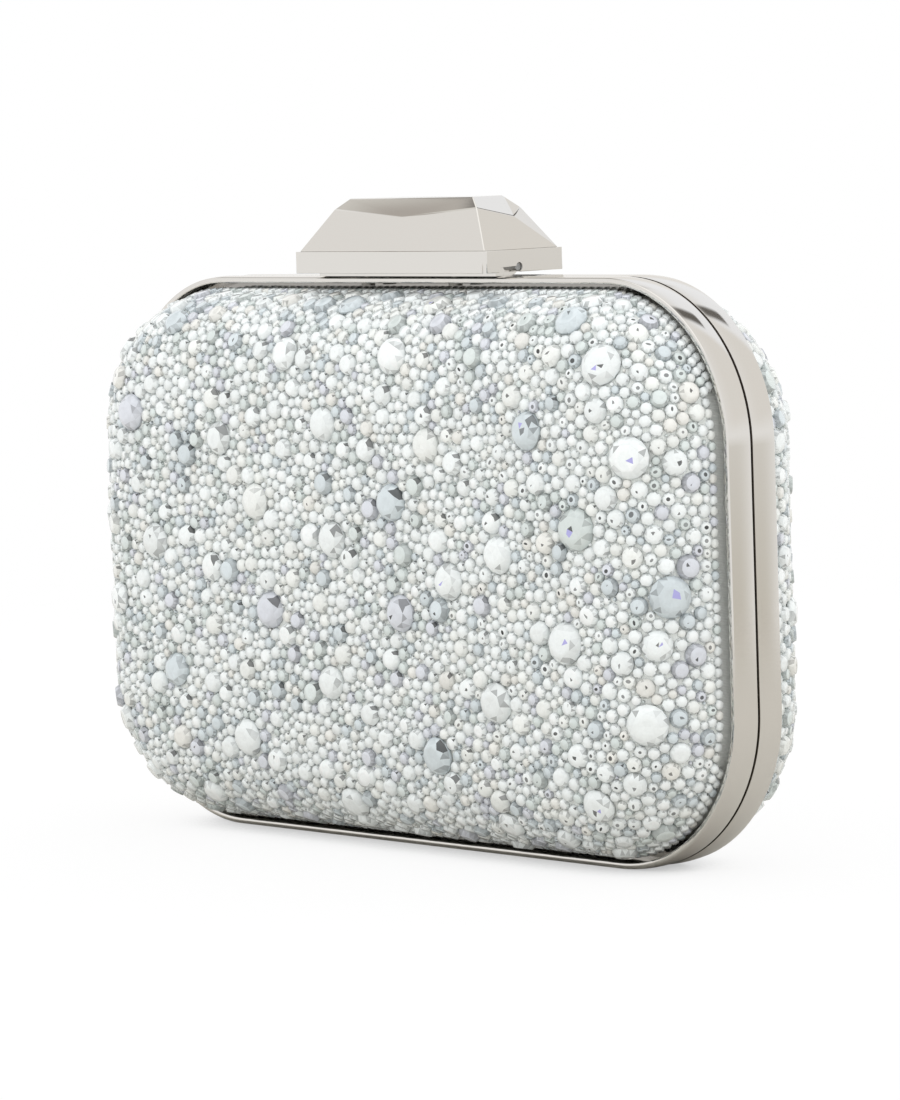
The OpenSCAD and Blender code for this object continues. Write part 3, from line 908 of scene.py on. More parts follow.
    def scatter(self, count: int, depth: float, rng: np.random.Generator) -> np.ndarray:
        """Picks random places, spread evenly over the paved surface.

        Args:
            count: Number of places.
            depth: Depth of the surface below the paving's face.
            rng: Random source.

        Returns:
            Rows of (x, height, z from the outline's middle).
        """
        curve = np.array(self.section(depth))
        curve[0, 1] = self.pave_start
        fine = np.linspace(0, len(curve) - 1, self.fine_steps)
        inset = np.interp(fine, np.arange(len(curve)), curve[:, 0])
        height = np.interp(fine, np.arange(len(curve)), curve[:, 1])
        d = OUTLINE.corner_r - inset
        steps = np.hypot(np.diff(d), np.diff(height))
        straight = 2 * (OUTLINE.span_x + OUTLINE.span_z)
        ring = straight + 2 * math.pi * (d[1:] + d[:-1]) / 2
        flat = OUTLINE.span_x * OUTLINE.span_z
        weight = np.concatenate([[flat], steps * ring])
        pick = rng.choice(len(weight), count, p=weight / weight.sum())
        band = np.maximum(pick - 1, 0)
        mix = rng.random(count)
        dist = d[band] * (1 - mix) + d[band + 1] * mix
        high = height[band] * (1 - mix) + height[band + 1] * mix
        sign = rng.choice([-1.0, 1.0], (count, 2))
        half = np.array([OUTLINE.span_x / 2, OUTLINE.span_z / 2])
        along = rng.random(count) * (straight + 2 * math.pi * dist)
        turn = rng.random(count) * math.pi / 2
        free = (rng.random((count, 2)) * 2 - 1) * half
        on_x = along < 2 * OUTLINE.span_x
        on_z = ~on_x & (along < straight)
        x = np.where(on_x, free[:, 0], sign[:, 0] * (half[0] + dist * np.where(
            on_z, 1.0, np.cos(turn))))
        z = np.where(on_z, free[:, 1], sign[:, 1] * (half[1] + dist * np.where(
            on_x, 1.0, np.sin(turn))))
        centre = pick == 0
        places = np.column_stack([x, high, z])
        places[centre] = np.column_stack([free[:, 0], np.full(count, self.top), free[:, 1]])[centre]
        return self.rest(places, depth)[0]


DOME = Dome()


class Part(Enum):
    """Parts of a cut stone's surface: SPOT and CORE lie inside the table."""

    BACK = 0
    SIDE = 1
    CROWN = 2
    TABLE = 3
    SPOT = 4
    CORE = 5


# How far a face looks up where the table and the crown begin, and below which it is the back
TABLE_FROM = 0.99
CROWN_FROM = 0.3
BACK_BELOW = -0.5
INNER_R = 0.5


@dataclass
class Shape:
    """A cut's corners and faces, with each face's part, direction and place round the axis."""

    corners: np.ndarray
    faces: list[list[int]]
    parts: np.ndarray
    facing: np.ndarray
    bearing: np.ndarray

    @property
    def inner(self) -> np.ndarray:
        """Which corners lie inside the table."""
        return (self.corners[:, 2] > TABLE_FROM) & (np.hypot(*self.corners[:, :2].T) < INNER_R)

    def of(self, part: Part) -> np.ndarray:
        """Which faces are of a part."""
        return self.parts == part.value


@dataclass(frozen=True)
class StoneCut:
    """A flat-backed stone's cut, as rings of (corners, radius share, height share, half turns).

    Its height is a length and a share of its radius. A spot is a small flat in the middle of
    the table, and a core the facets that meet there, both by their distance from its edge.
    """

    rings: tuple[tuple[int, float, float, float], ...]
    height: tuple[float, float]
    spot: float = 0.0
    core: float = 0.0

    def height_at(self, radius: np.ndarray) -> np.ndarray:
        """Works out the height of stones from their radii."""
        return self.height[0] + self.height[1] * radius

    def shape(self) -> Shape:
        """Builds the cut as the hull of its rings.

        Returns:
            The cut's shape.
        """
        bm = bmesh.new()
        for sides, share, height, turn in self.rings:
            bmesh.ops.create_circle(
                bm, segments=sides, radius=share, matrix=Matrix.Translation((0, 0, height))
                @ Matrix.Rotation(turn * math.pi / sides, 4, "Z"),
            )
        bmesh.ops.convex_hull(bm, input=bm.verts)
        bmesh.ops.dissolve_limit(bm, angle_limit=math.radians(2), verts=bm.verts,
                                 edges=bm.edges)
        loose = [e for e in bm.edges if not e.link_faces]
        bmesh.ops.delete(bm, geom=loose, context="EDGES")
        bmesh.ops.recalc_face_normals(bm, faces=bm.faces)
        if self.spot or self.core:
            table = max(bm.faces, key=lambda f: f.calc_center_median().z)
            bmesh.ops.inset_individual(bm, faces=[table], thickness=self.spot or self.core)
            if self.core:
                bmesh.ops.poke(bm, faces=[table])
        bm.verts.index_update()
        bm.normal_update()
        corners = np.array([v.co[:] for v in bm.verts])
        faces = [[v.index for v in f.verts] for f in bm.faces]
        parts = np.array([self.part(f).value for f in bm.faces])
        facing = np.array([f.normal[:] for f in bm.faces])
        middle = np.array([f.calc_center_median()[:] for f in bm.faces])
        bm.free()
        return Shape(corners, faces, parts, facing, np.arctan2(middle[:, 1], middle[:, 0]))

    def part(self, face: bmesh.types.BMFace) -> Part:
        """Names a face's part of the stone by its direction and place.

        Args:
            face: Face of the cut.

        Returns:
            Its part.
        """
        if face.normal.z < BACK_BELOW:
            return Part.BACK
        if face.normal.z < CROWN_FROM:
            return Part.SIDE
        if face.normal.z < TABLE_FROM:
            return Part.CROWN
        if max(v.co.xy.length for v in face.verts) > INNER_R:
            return Part.TABLE
        return Part.SPOT if self.spot else Part.CORE


class Cut(Enum):
    """The cuts that the paving is made of."""

    GRAIN = StoneCut(((6, 1.0, 0.0, 0), (6, 1.0, 0.3, 0), (6, 0.65, 1.0, 0)), (0.35, 0.4))
    SMALL = StoneCut(((10, 1.0, 0.0, 0), (10, 1.0, 0.35, 0), (10, 0.76, 1.0, 1)), (0.3, 0.45))
    SPOTTED = StoneCut(((10, 1.0, 0.0, 0), (10, 1.0, 0.35, 0), (10, 0.76, 1.0, 1)), (0.3, 0.45),
                       spot=0.46)
    MEDIUM = StoneCut(((12, 1.0, 0.0, 0), (12, 1.0, 0.3, 0), (12, 0.74, 1.0, 1)), (0.3, 0.5),
                      core=0.4)
    LARGE = StoneCut(((16, 1.0, 0.0, 0), (16, 1.0, 0.3, 0), (8, 0.84, 0.72, 1),
                      (8, 0.66, 1.0, 0)), (0.0, 0.53), core=0.34)


@dataclass
class Stones:
    """Stones laid on the front dome, in millimetres from the outline's middle."""

    place: np.ndarray
    radius: np.ndarray

    @property
    def count(self) -> int:
        """Number of the stones."""
        return len(self.radius)

    def joined(self, other: Stones) -> Stones:
        """Puts two lots of stones together."""
        return Stones(np.vstack([self.place, other.place]),
                      np.concatenate([self.radius, other.radius]))

    def only(self, chosen: np.ndarray) -> Stones:
        """Picks some of the stones."""
        return Stones(self.place[chosen], self.radius[chosen])


@dataclass(frozen=True)
class StoneSize:
    """A size of stone: the radii it comes in, and how far apart the middles start."""

    radii: tuple[float, float]
    spacing: float


@dataclass
class Paver:
    """Lays stones edge to edge on a dome, the largest first."""

    seed: int = 20
    wide: StoneSize = StoneSize((2.0, 2.45), 11.0)
    middle: StoneSize = StoneSize((1.5, 1.9), 6.2)
    small: StoneSize = StoneSize((0.8, 1.42), 1.46)
    spread: float = 1.2
    edge_r: float = 0.95
    edge_heights: tuple[float, ...] = (5.15, 6.75)
    shade_from: float = 9.0
    darts: int = 60000
    rounds: int = 200
    relist: int = 6
    grain: tuple[float, float] = (0.26, 0.62)
    grain_neighbours: int = 6
    joint: float = 0.01
    near: float = 0.5
    grain_near: float = 0.1
    push_share: float = 0.6
    snug: float = 1.05
    trim_limit: float = 0.8
    growth: float = 1.12

    def __post_init__(self) -> None:
        """Starts the random source."""
        self.rng = np.random.default_rng(self.seed)

    def seated(self, node: str) -> Stones:
        """Reads the large stones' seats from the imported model.

        Args:
            node: Node of the front dome's large stones.

        Returns:
            Their seats on the cloth.
        """
        bm = bmesh.new()
        bm.from_mesh(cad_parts[node].data)
        bmesh.ops.remove_doubles(bm, verts=bm.verts, dist=TIGHT * MM)
        left, places, radii = set(bm.verts), [], []
        while left:
            island, edge = set(), [left.pop()]
            while edge:
                vert = edge.pop()
                island.add(vert)
                near = [e.other_vert(vert) for e in vert.link_edges]
                edge += [v for v in near if v in left]
                left.difference_update(near)
            cloud = np.array([v.co[:] for v in island]) / MM
            cloud = np.column_stack([cloud[:, 0], -cloud[:, 1], cloud[:, 2] - OUTLINE.centre_z])
            seat, facing = DOME.rest(cloud.mean(axis=0)[None], DOME.pave_t)
            off = cloud - seat
            side = off - (off @ facing[0])[:, None] * facing
            places.append(seat[0])
            radii.append(np.linalg.norm(side, axis=1).max())
        bm.free()
        order = np.lexsort(np.round(np.array(places), 2).T)
        return Stones(np.array(places)[order], np.array(radii)[order] * self.spread)

    def thrown(self, size: StoneSize, there: Stones) -> Stones:
        """Scatters stones of one size between those that lie there.

        Args:
            size: Size of the new stones.
            there: Stones that lie already.

        Returns:
            The new stones.
        """
        places = DOME.scatter(self.darts, DOME.pave_t, self.rng)
        radii = self.rng.uniform(*size.radii, self.darts)
        tree = tree_of(places)
        free = np.ones(self.darts, bool)
        for place, radius in zip(there.place, there.radius):
            for _, i, _ in tree.find_range(place, radius + size.radii[0]):
                free[i] = False
        kept = []
        for i in range(self.darts):
            if free[i]:
                kept.append(i)
                for _, j, _ in tree.find_range(places[i], size.spacing):
                    free[j] = False
        return Stones(places[kept], radii[kept])

    def shaded(self, z: np.ndarray | float) -> np.ndarray | bool:
        """Tells which places of the edge lie at the top or the bottom.

        Args:
            z: Heights from the outline's middle.

        Returns:
            Whether each lies where the paving runs into the channel.
        """
        return np.abs(z) > OUTLINE.span_z / 2 + self.shade_from

    def along_edge(self, s: float, reach: float) -> tuple[float, float]:
        """Walks along the paving's edge from the left end of its top side, clockwise.

        Args:
            s: Distance to walk.
            reach: Radius of the edge's corners.

        Returns:
            The place reached, as (x, z from the outline's middle).
        """
        half = (OUTLINE.span_x / 2, OUTLINE.span_z / 2)
        arc = math.pi / 2 * reach
        passed = 0
        for run in (2 * half[0], arc, 2 * half[1], arc) * 2:
            if s <= run:
                break
            s -= run
            passed += 1
        quarter, bent = divmod(passed, 2)
        a, b = half if quarter % 2 == 0 else half[::-1]
        angle = s / reach if bent else 0.0
        x = a + reach * math.sin(angle) if bent else s - a
        z = b + reach * math.cos(angle)
        for _ in range(quarter):
            x, z = z, -x
        return x, z

    def edging(self, there: Stones) -> Stones:
        """Lines the paving's edge with a row of like stones, and two at the top and bottom.

        Args:
            there: Large stones that lie already.

        Returns:
            The rows, without those that a large stone would touch.
        """
        reach = OUTLINE.corner_r - DOME.foot - DOME.pave_t
        total = 2 * (OUTLINE.span_x + OUTLINE.span_z) + 2 * math.pi * reach
        count = int(total / (2 * self.edge_r + self.joint))
        rows = []
        for height in self.edge_heights:
            shift = (height - self.edge_heights[0]) / 2
            for s in np.arange(count) * total / count + shift:
                x, z = self.along_edge(s, reach)
                if height == self.edge_heights[-1] or self.shaded(z):
                    rows.append((x, height, z))
        row, _ = DOME.rest(np.array(rows), DOME.pave_t)
        apart = np.linalg.norm(row[:, None] - there.place[None], axis=2)
        free = (apart > there.radius[None] + self.edge_r).all(axis=1)
        return Stones(row[free], np.full(free.sum(), self.edge_r))

    def near_pairs(self, stones: Stones, slack: float) -> tuple[np.ndarray, np.ndarray]:
        """Lists the stones that lie near each other.

        Args:
            stones: All the stones.
            slack: Widest gap between two stones that still counts.

        Returns:
            The larger and the smaller stone of each pair.
        """
        tree = tree_of(stones.place)
        rank = np.argsort(np.argsort(-stones.radius, kind="stable"))
        first, second = [], []
        for i, (place, radius) in enumerate(zip(stones.place, stones.radius)):
            for _, j, _ in tree.find_range(place, 2 * radius + slack):
                if rank[j] > rank[i]:
                    first.append(i)
                    second.append(j)
        return np.array(first), np.array(second)

    def relaxed(self, stones: Stones, fixed: int) -> Stones:
        """Pushes overlapping stones apart along the dome until they fit.

        Args:
            stones: All the stones.
            fixed: Number of stones at the start that stay where they are.

        Returns:
            The stones at their settled places, trimmed where they still touch.
        """
        place, radius = stones.place.copy(), stones.radius.copy()
        ease = 1 / radius ** 2
        ease[:fixed] = 0.0
        low = self.edge_heights[-1] + self.edge_r / 2
        for turn in range(self.rounds):
            if turn % self.relist == 0:
                one, two = self.near_pairs(Stones(place, radius), self.near)
            gap = place[two] - place[one]
            dist = np.maximum(np.linalg.norm(gap, axis=1), TIGHT)
            lap = np.maximum(radius[one] + radius[two] + self.joint - dist, 0)
            push = gap * (lap / dist / (ease[one] + ease[two] + TIGHT))[:, None]
            for axis in range(3):
                moved = push[:, axis]
                place[:, axis] -= self.push_share * ease * np.bincount(one, moved, len(place))
                place[:, axis] += self.push_share * ease * np.bincount(two, moved, len(place))
            place[fixed:, 1] = np.maximum(place[fixed:, 1], low + radius[fixed:])
            place[fixed:] = DOME.rest(place[fixed:], DOME.pave_t)[0]
        one, two = self.near_pairs(Stones(place, radius), self.near)
        dist = np.linalg.norm(place[two] - place[one], axis=1)
        fit = (dist - self.joint) / (radius[one] + radius[two])
        scale = np.full(len(radius), self.growth)
        np.minimum.at(scale, one, fit)
        np.minimum.at(scale, two, fit)
        scale[:fixed] = 1.0
        return Stones(place, radius * np.maximum(scale, self.trim_limit) * self.snug)

    def grains(self, there: Stones) -> Stones:
        """Fills the gaps between stones with grains.

        Args:
            there: All the larger stones.

        Returns:
            The grains.
        """
        places = DOME.scatter(self.darts, DOME.pave_t, self.rng)
        tree = tree_of(there.place)
        places = places[places[:, 1] > self.edge_heights[-1] - self.grain[0]]
        room = np.array([min(dist - there.radius[j] for _, j, dist
                             in tree.find_n(place, self.grain_neighbours)) for place in places])
        good = room > self.grain[0]
        places, room = places[good], np.minimum(room[good], self.grain[1])
        order = np.argsort(-room, kind="stable")
        places, room = places[order], room[order]
        tree, free, kept = tree_of(places), np.ones(len(places), bool), []
        for i in range(len(places)):
            if free[i]:
                kept.append(i)
                for _, j, _ in tree.find_range(places[i], room[i] + self.grain[0]):
                    free[j] = False
        kept = np.array(kept)
        radii = room[kept]
        one, two = self.near_pairs(Stones(places[kept], radii), self.grain_near)
        if len(one):
            dist = np.linalg.norm(places[kept][two] - places[kept][one], axis=1)
            np.minimum.at(radii, two, np.maximum(dist - radii[one], self.grain[0] / 2))
        return Stones(places[kept], radii)


def tree_of(places: np.ndarray) -> KDTree:
    """Sorts places for quick search.

    Args:
        places: Rows of coordinates.

    Returns:
        Search tree, which finds a place by its row's number.
    """
    tree = KDTree(len(places))
    for i, place in enumerate(places):
        tree.insert(place, i)
    tree.balance()
    return tree


@dataclass(frozen=True)
class Tint:
    """A colour of stone, and how common it is."""

    colour: str
    share: float


@dataclass
class Setter:
    """Cuts, colours and sets the stones of one dome.

    Each facet's tone is painted: its spread over crown, table and core is painted reflection,
    and the darker sides and back are painted shade. A dark wedge in a stone's core, a dark sliver
    on a facet at its upper right and a violet flash in a large stone's core are painted
    reflections too, as cut glass mirrors and splits light. Dark wedges grow more common towards
    the dome's right end, and slivers less.
    """

    body: Body
    seed: int
    tints: tuple[Tint, ...] = (
        Tint("#fdffff", 0.58), Tint("#fbfbf8", 0.14), Tint("#f6f3ee", 0.04),
        Tint("#e5ebe9", 0.1), Tint("#dfe6ea", 0.09), Tint("#e7e8f0", 0.05),
    )
    grey_from: int = 3
    blue_from: int = 4
    depth: tuple[float, float] = (0.93, 1.04)
    sink: float = 0.06
    # Share and tone of the crown facets darkened as painted dark reflections
    dark_facet_share: float = 0.25
    dark_facet_tone: tuple[float, float] = (0.5, 0.85)
    inner_size: tuple[float, float] = (0.55, 1.35)
    inner_shift: float = 0.14
    # A dark wedge in a stone's core: a painted dark reflection
    dark_wedge_share: float = 0.6
    dark_wedge_spread: tuple[float, float] = (0.2, 0.8)
    dark_wedge_width: tuple[float, float] = (0.3, 0.9)
    dark_wedge_tone: tuple[float, float] = (0.08, 0.35)
    # A flash: a painted violet reflection in a large stone's core
    flash: str = "#b3aee6"
    flash_share: float = 0.1
    # A sliver: a painted dark reflection on a facet towards the upper right
    sliver_share: float = 0.22
    sliver_most: float = 1.8
    sliver_grey: float = 1.8
    sliver_spread: float = 0.7
    sliver_side: tuple[float, float, float] = (0.75, 0.0, 0.66)
    sliver_cone: float = 0.94
    sliver_tone: tuple[float, float] = (0.1, 0.38)
    central_from: float = 10.0
    central_over: float = 40.0
    lean_below: float = 10.0
    lean_over: float = 3.0
    lean: float = 0.4
    tilt: float = 0.07
    tilt_limit: float = 1.5
    upright_from: float = 0.7
    # Tone ranges by part: the spread on crown, table and core is painted reflection, the darker
    # sides and back are painted shade, and the spot's dark tone is a painted reflection of the
    # culet
    tones: dict = field(default_factory=lambda: {
        Part.BACK: (0.6, 0.6), Part.SIDE: (0.6, 0.98), Part.CROWN: (0.88, 1.0),
        Part.TABLE: (0.97, 1.0), Part.SPOT: (0.02, 0.4), Part.CORE: (0.94, 1.0),
    })

    def __post_init__(self) -> None:
        """Starts the random source and turns the tints to linear light."""
        self.rng = np.random.default_rng(self.seed)
        self.colours = np.array([linear(t.colour) for t in self.tints])
        self.shares = np.array([t.share for t in self.tints])

    @property
    def side(self) -> str:
        """The dome's word in the pieces' names."""
        return "rear" if self.body is Body.REAR else "front"

    def set(
        self, stones: Stones, cut: Cut, word: str, tinted: float = 1.0,
        height: np.ndarray | None = None
    ) -> None:
        """Sets a lot of stones of one cut as one piece.

        Args:
            stones: Stones on the front dome; the rear's are the same turned through the middle.
            cut: Their cut.
            word: What the lot is called in the piece's name.
            tinted: How much more common the coloured stones are than on the whole dome.
            height: Heights of the stones, where they aren't their cut's.
        """
        origin, up, across, along = self.seats(stones)
        shape = cut.value.shape()
        corners = self.varied(shape, stones.count)
        if height is None:
            height = cut.value.height_at(stones.radius)
        r, h = stones.radius[:, None, None], height[:, None, None]
        mesh = (origin - up * self.sink)[:, None, :] + (
            r * corners[..., :1] * across[:, None] + r * corners[..., 1:2]
            * along[:, None] + h * corners[..., 2:] * up[:, None])
        central = np.clip((stones.place[:, 0] - self.central_from) / self.central_over, 0, 1)
        large = cut is Cut.LARGE
        tone = self.toned(central, shape, (across, along), tinted, large)
        data = replicate(f"{self.side}_stones_{word}", mesh * MM, shape.faces, tone)
        node = f"{self.side}_{'large_crystals' if large else 'pave'}"
        add_piece(data, self.body, GLASS, [node])

    def seats(self, stones: Stones) -> tuple[np.ndarray, np.ndarray, np.ndarray, np.ndarray]:
        """Finds where each stone sits on this dome, and how it is turned.

        Args:
            stones: Stones on the front dome.

        Returns:
            Their places in the bag's frame, and their directions up, across and along.
        """
        place, facing = DOME.rest(stones.place, DOME.pave_t)
        facing[:, 1] += self.lean * np.clip((self.lean_below - place[:, 1]) / self.lean_over, 0, 1)
        facing = unit(facing)
        turned = 1.0 if self.body is Body.FRONT else -1.0
        spin = np.array([turned, -turned, turned])
        origin = place * spin + np.array([0, 0, OUTLINE.centre_z])
        up = facing * spin
        lean = self.rng.normal(0, self.tilt / self.tilt_limit, (stones.count, 3))
        up = unit(up + np.clip(lean, -self.tilt, self.tilt))
        hint = np.where(np.abs(up[:, :1]) < self.upright_from, [[1.0, 0, 0]], [[0, 0, 1.0]])
        across = unit(np.cross(hint, up))
        along = np.cross(up, across)
        angle = self.rng.uniform(0, 2 * math.pi, stones.count)[:, None]
        across, along = (across * np.cos(angle) + along * np.sin(angle),
                         along * np.cos(angle) - across * np.sin(angle))
        return origin, up, across, along

    def varied(self, shape: Shape, count: int) -> np.ndarray:
        """Copies a cut's corners, and varies the place and size of what lies inside the table.

        Args:
            shape: Shape of the cut.
            count: Number of stones.

        Returns:
            Corners by stone.
        """
        corners = np.repeat(shape.corners[None], count, axis=0)
        if shape.inner.any():
            size = self.rng.uniform(*self.inner_size, (count, 1, 2))
            shift = self.rng.uniform(-self.inner_shift, self.inner_shift, (count, 1, 2))
            corners[:, shape.inner, :2] = corners[:, shape.inner, :2] * size + shift
        return corners

    def toned(
        self, central: np.ndarray, shape: Shape, axes: tuple[np.ndarray, np.ndarray],
        tinted: float, large: bool
    ) -> np.ndarray:
        """Colours every facet, with painted reflections and painted shade.

        Args:
            central: How far each stone's dark facets lie in its middle, not at a side.
            shape: Shape of the cut.
            axes: Directions of each stone's own two axes across it.
            tinted: How much more common the coloured stones are.
            large: Whether these are the large stones, which alone have flashes.

        Returns:
            Linear colours by stone and face.
        """
        count, core, crown = len(central), shape.of(Part.CORE), shape.of(Part.CROWN)
        weight = self.shares.copy()
        weight[self.blue_from:] *= tinted
        pick = self.rng.choice(len(weight), count, p=weight / weight.sum())
        base = self.colours[pick] * self.rng.uniform(*self.depth, (count, 1))
        tone = np.empty((count, len(core)))
        for part, span in self.tones.items():
            chosen = shape.of(part)
            tone[:, chosen] = self.rng.uniform(*span, (count, chosen.sum()))
        grey = (pick >= self.grey_from)[:, None]
        # Painted dark reflections: some crown facets, and every crown facet of a small coloured
        # stone
        painted_dark = crown & (self.rng.random(tone.shape) < self.dark_facet_share)
        painted_dark |= crown & grey & (not large)
        tone = np.where(painted_dark, tone * self.rng.uniform(*self.dark_facet_tone, tone.shape), tone)
        side = self.rng.uniform(-math.pi, math.pi, (count, 1))
        wide = self.rng.uniform(*self.dark_wedge_width, (count, 1))
        likely = self.dark_wedge_share * (self.dark_wedge_spread[0] + self.dark_wedge_spread[1] * central)
        # Painted dark reflection: a dark wedge in the core
        dark_wedge = core & (self.rng.random(count) < likely)[:, None]
        dark_wedge &= np.abs(np.angle(np.exp(1j * (shape.bearing - side)))) < wide
        tone = np.where(dark_wedge, tone * self.rng.uniform(*self.dark_wedge_tone, (count, 1)), tone)
        # Painted dark reflection: a dark facet towards the upper right
        sliver = crown & self.slivers(shape, axes) & self.reflecting_dark(central, grey[:, 0], tinted)
        tone = np.where(sliver, self.rng.uniform(*self.sliver_tone, (count, 1)), tone)
        colours = np.clip(base[:, None, :] * tone[:, :, None], 0, 1)
        # Painted violet reflection: flashes in the large stones' cores
        flash = core & ~dark_wedge & large & (
            self.rng.random(tone.shape) < self.flash_share * central[:, None])
        colours[flash] = linear(self.flash)
        return colours

    def slivers(self, shape: Shape, axes: tuple[np.ndarray, np.ndarray]) -> np.ndarray:
        """Tells which facets lean to the side where the painted dark slivers lie.

        Args:
            shape: Shape of the cut.
            axes: Directions of each stone's own two axes across it.

        Returns:
            Whether each does, by stone and face.
        """
        across, along = axes
        leaning = (shape.facing[None, :, :1] * across[:, None]
                   + shape.facing[None, :, 1:2] * along[:, None])
        side = unit(np.array([self.sliver_side]))[0]
        return unit(leaning + TIGHT) @ side > self.sliver_cone

    def reflecting_dark(self, central: np.ndarray, grey: np.ndarray, tinted: float) -> np.ndarray:
        """Picks the stones that have a dark sliver, a painted dark reflection.

        Args:
            central: How far each stone's dark facets lie in its middle, not at a side.
            grey: Which stones are coloured.
            tinted: How much more common the coloured stones are.

        Returns:
            Whether each has one, as a column.
        """
        likely = self.sliver_share * min(tinted, self.sliver_most)
        likely = likely * (1 - self.sliver_spread * central)
        likely *= np.where(grey, self.sliver_grey, 1)
        return (self.rng.random(len(central)) < likely)[:, None]


def unit(rows: np.ndarray) -> np.ndarray:
    """Scales each row to length one."""
    return rows / np.maximum(np.linalg.norm(rows, axis=-1, keepdims=True), TINY)


def replicate(
    name: str, points: np.ndarray, faces: list[list[int]], tone: np.ndarray
) -> bpy.types.Mesh:
    """Joins many copies of one cut, already in place, to one mesh.

    Args:
        name: Name of the mesh data.
        points: Corners by copy, in metres.
        faces: Faces of one copy.
        tone: Colour by copy and face, painted reflections included.

    Returns:
        The mesh, with the colours as a face attribute.
    """
    copies, corners = points.shape[:2]
    ring = np.concatenate([np.array(f) for f in faces])
    sizes = np.array([len(f) for f in faces])
    loops = (ring[None] + corners * np.arange(copies)[:, None]).ravel()
    starts = np.concatenate([[0], np.cumsum(np.tile(sizes, copies))[:-1]])
    data = bpy.data.meshes.new(name)
    data.vertices.add(copies * corners)
    data.vertices.foreach_set("co", points.ravel())
    data.loops.add(len(loops))
    data.loops.foreach_set("vertex_index", loops)
    data.polygons.add(len(starts))
    data.polygons.foreach_set("loop_start", starts)
    data.update(calc_edges=True)
    layer = data.attributes.new(COLOUR_AND_REFLECTION_LAYER, "FLOAT_COLOR", "FACE")
    rgba = np.ones((copies * len(faces), 4))
    rgba[:, :3] = tone.reshape(-1, 3)
    layer.data.foreach_set("color", rgba.ravel())
    return data


@dataclass
class Paving:
    """The stones of both domes."""

    paver: Paver = field(default_factory=Paver)
    edge_height: float = 0.73
    shaded_height: float = 1.4
    large_tinted: float = 3.0
    medium_tinted: float = 1.8
    spot_from: float = 15.0
    spot_over: float = 50.0
    spot_share: float = 0.3
    spot_r: float = 0.95
    spot_seed: int = 7
    seeds: tuple[tuple[Body, int], ...] = ((Body.FRONT, 31), (Body.REAR, 47))

    def build(self) -> None:
        """Lays one arrangement and sets it on both domes."""
        large = self.paver.seated("front_large_crystals")
        edging = self.paver.edging(large)
        laid = large.joined(edging)
        fixed = laid.count
        for size in (self.paver.wide, self.paver.middle):
            laid = laid.joined(self.paver.thrown(size, laid))
        big = laid.count
        laid = laid.joined(self.paver.thrown(self.paver.small, laid))
        laid = self.paver.relaxed(laid, fixed)
        grains = self.paver.grains(laid)
        medium = laid.only(np.arange(fixed, big))
        small = laid.only(np.arange(big, laid.count))
        LOG.info("stones on a dome: %d large, %d medium, %d small, %d grains",
                 large.count, medium.count, small.count, grains.count)
        tall = np.where(self.paver.shaded(edging.place[:, 2]), self.shaded_height,
                        self.edge_height)
        # Spotted stones carry a painted dark reflection of the culet in the middle of the table
        spotted = self.spotted(small)
        right = small.place[:, 0] > 0
        for body, seed in self.seeds:
            setter = Setter(body, seed)
            setter.set(large, Cut.LARGE, "large", self.large_tinted)
            setter.set(medium, Cut.MEDIUM, "medium", self.medium_tinted)
            setter.set(small.only(right & ~spotted), Cut.SMALL, "small_right")
            setter.set(small.only(~right & ~spotted), Cut.SMALL, "small_left")
            setter.set(small.only(spotted), Cut.SPOTTED, "spotted")
            setter.set(edging, Cut.SMALL, "edge", height=tall)
            setter.set(grains, Cut.GRAIN, "grain")

    def spotted(self, small: Stones) -> np.ndarray:
        """Picks the small stones with a dark spot, a painted reflection of the culet, more of them
        towards the right.

        Args:
            small: The small stones.

        Returns:
            Whether each has one.
        """
        dice = np.random.default_rng(self.spot_seed).random(small.count)
        share = self.spot_share * np.clip((small.place[:, 0] - self.spot_from) / self.spot_over,
                                          0, 1)
        return (small.radius > self.spot_r) & (dice < share)


@dataclass
class Covering:
    """The carrier cloth and the lining of one half."""

    body: Body
    shell_in: float = 1.4
    shell_t: float = 1.6
    lining_t: float = 0.6
    fabric_t: float = 0.5

    def build(self) -> None:
        """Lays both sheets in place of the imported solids."""
        rear = self.body is Body.REAR
        side = "rear" if rear else "front"
        layers = (
            ("cloth", DOME.pave_t, self.fabric_t, CLOTH, Slot.CLOTH, "fabric"),
            ("leather", self.shell_in + self.shell_t, self.lining_t, LEATHER, Slot.LINING,
             "lining"),
        )
        for word, depth, thick, finish, slot, node in layers:
            data, area = DOME.sheet(f"{side}_{word}", depth, rear)
            piece = add_piece(data, self.body, finish, [f"{side}_{node}"])
            wall = piece.modifiers.new("wall", "SOLIDIFY")
            wall.thickness, wall.offset, wall.use_even_offset = thick * MM, -1.0, True
            run = DOME.developed(depth)


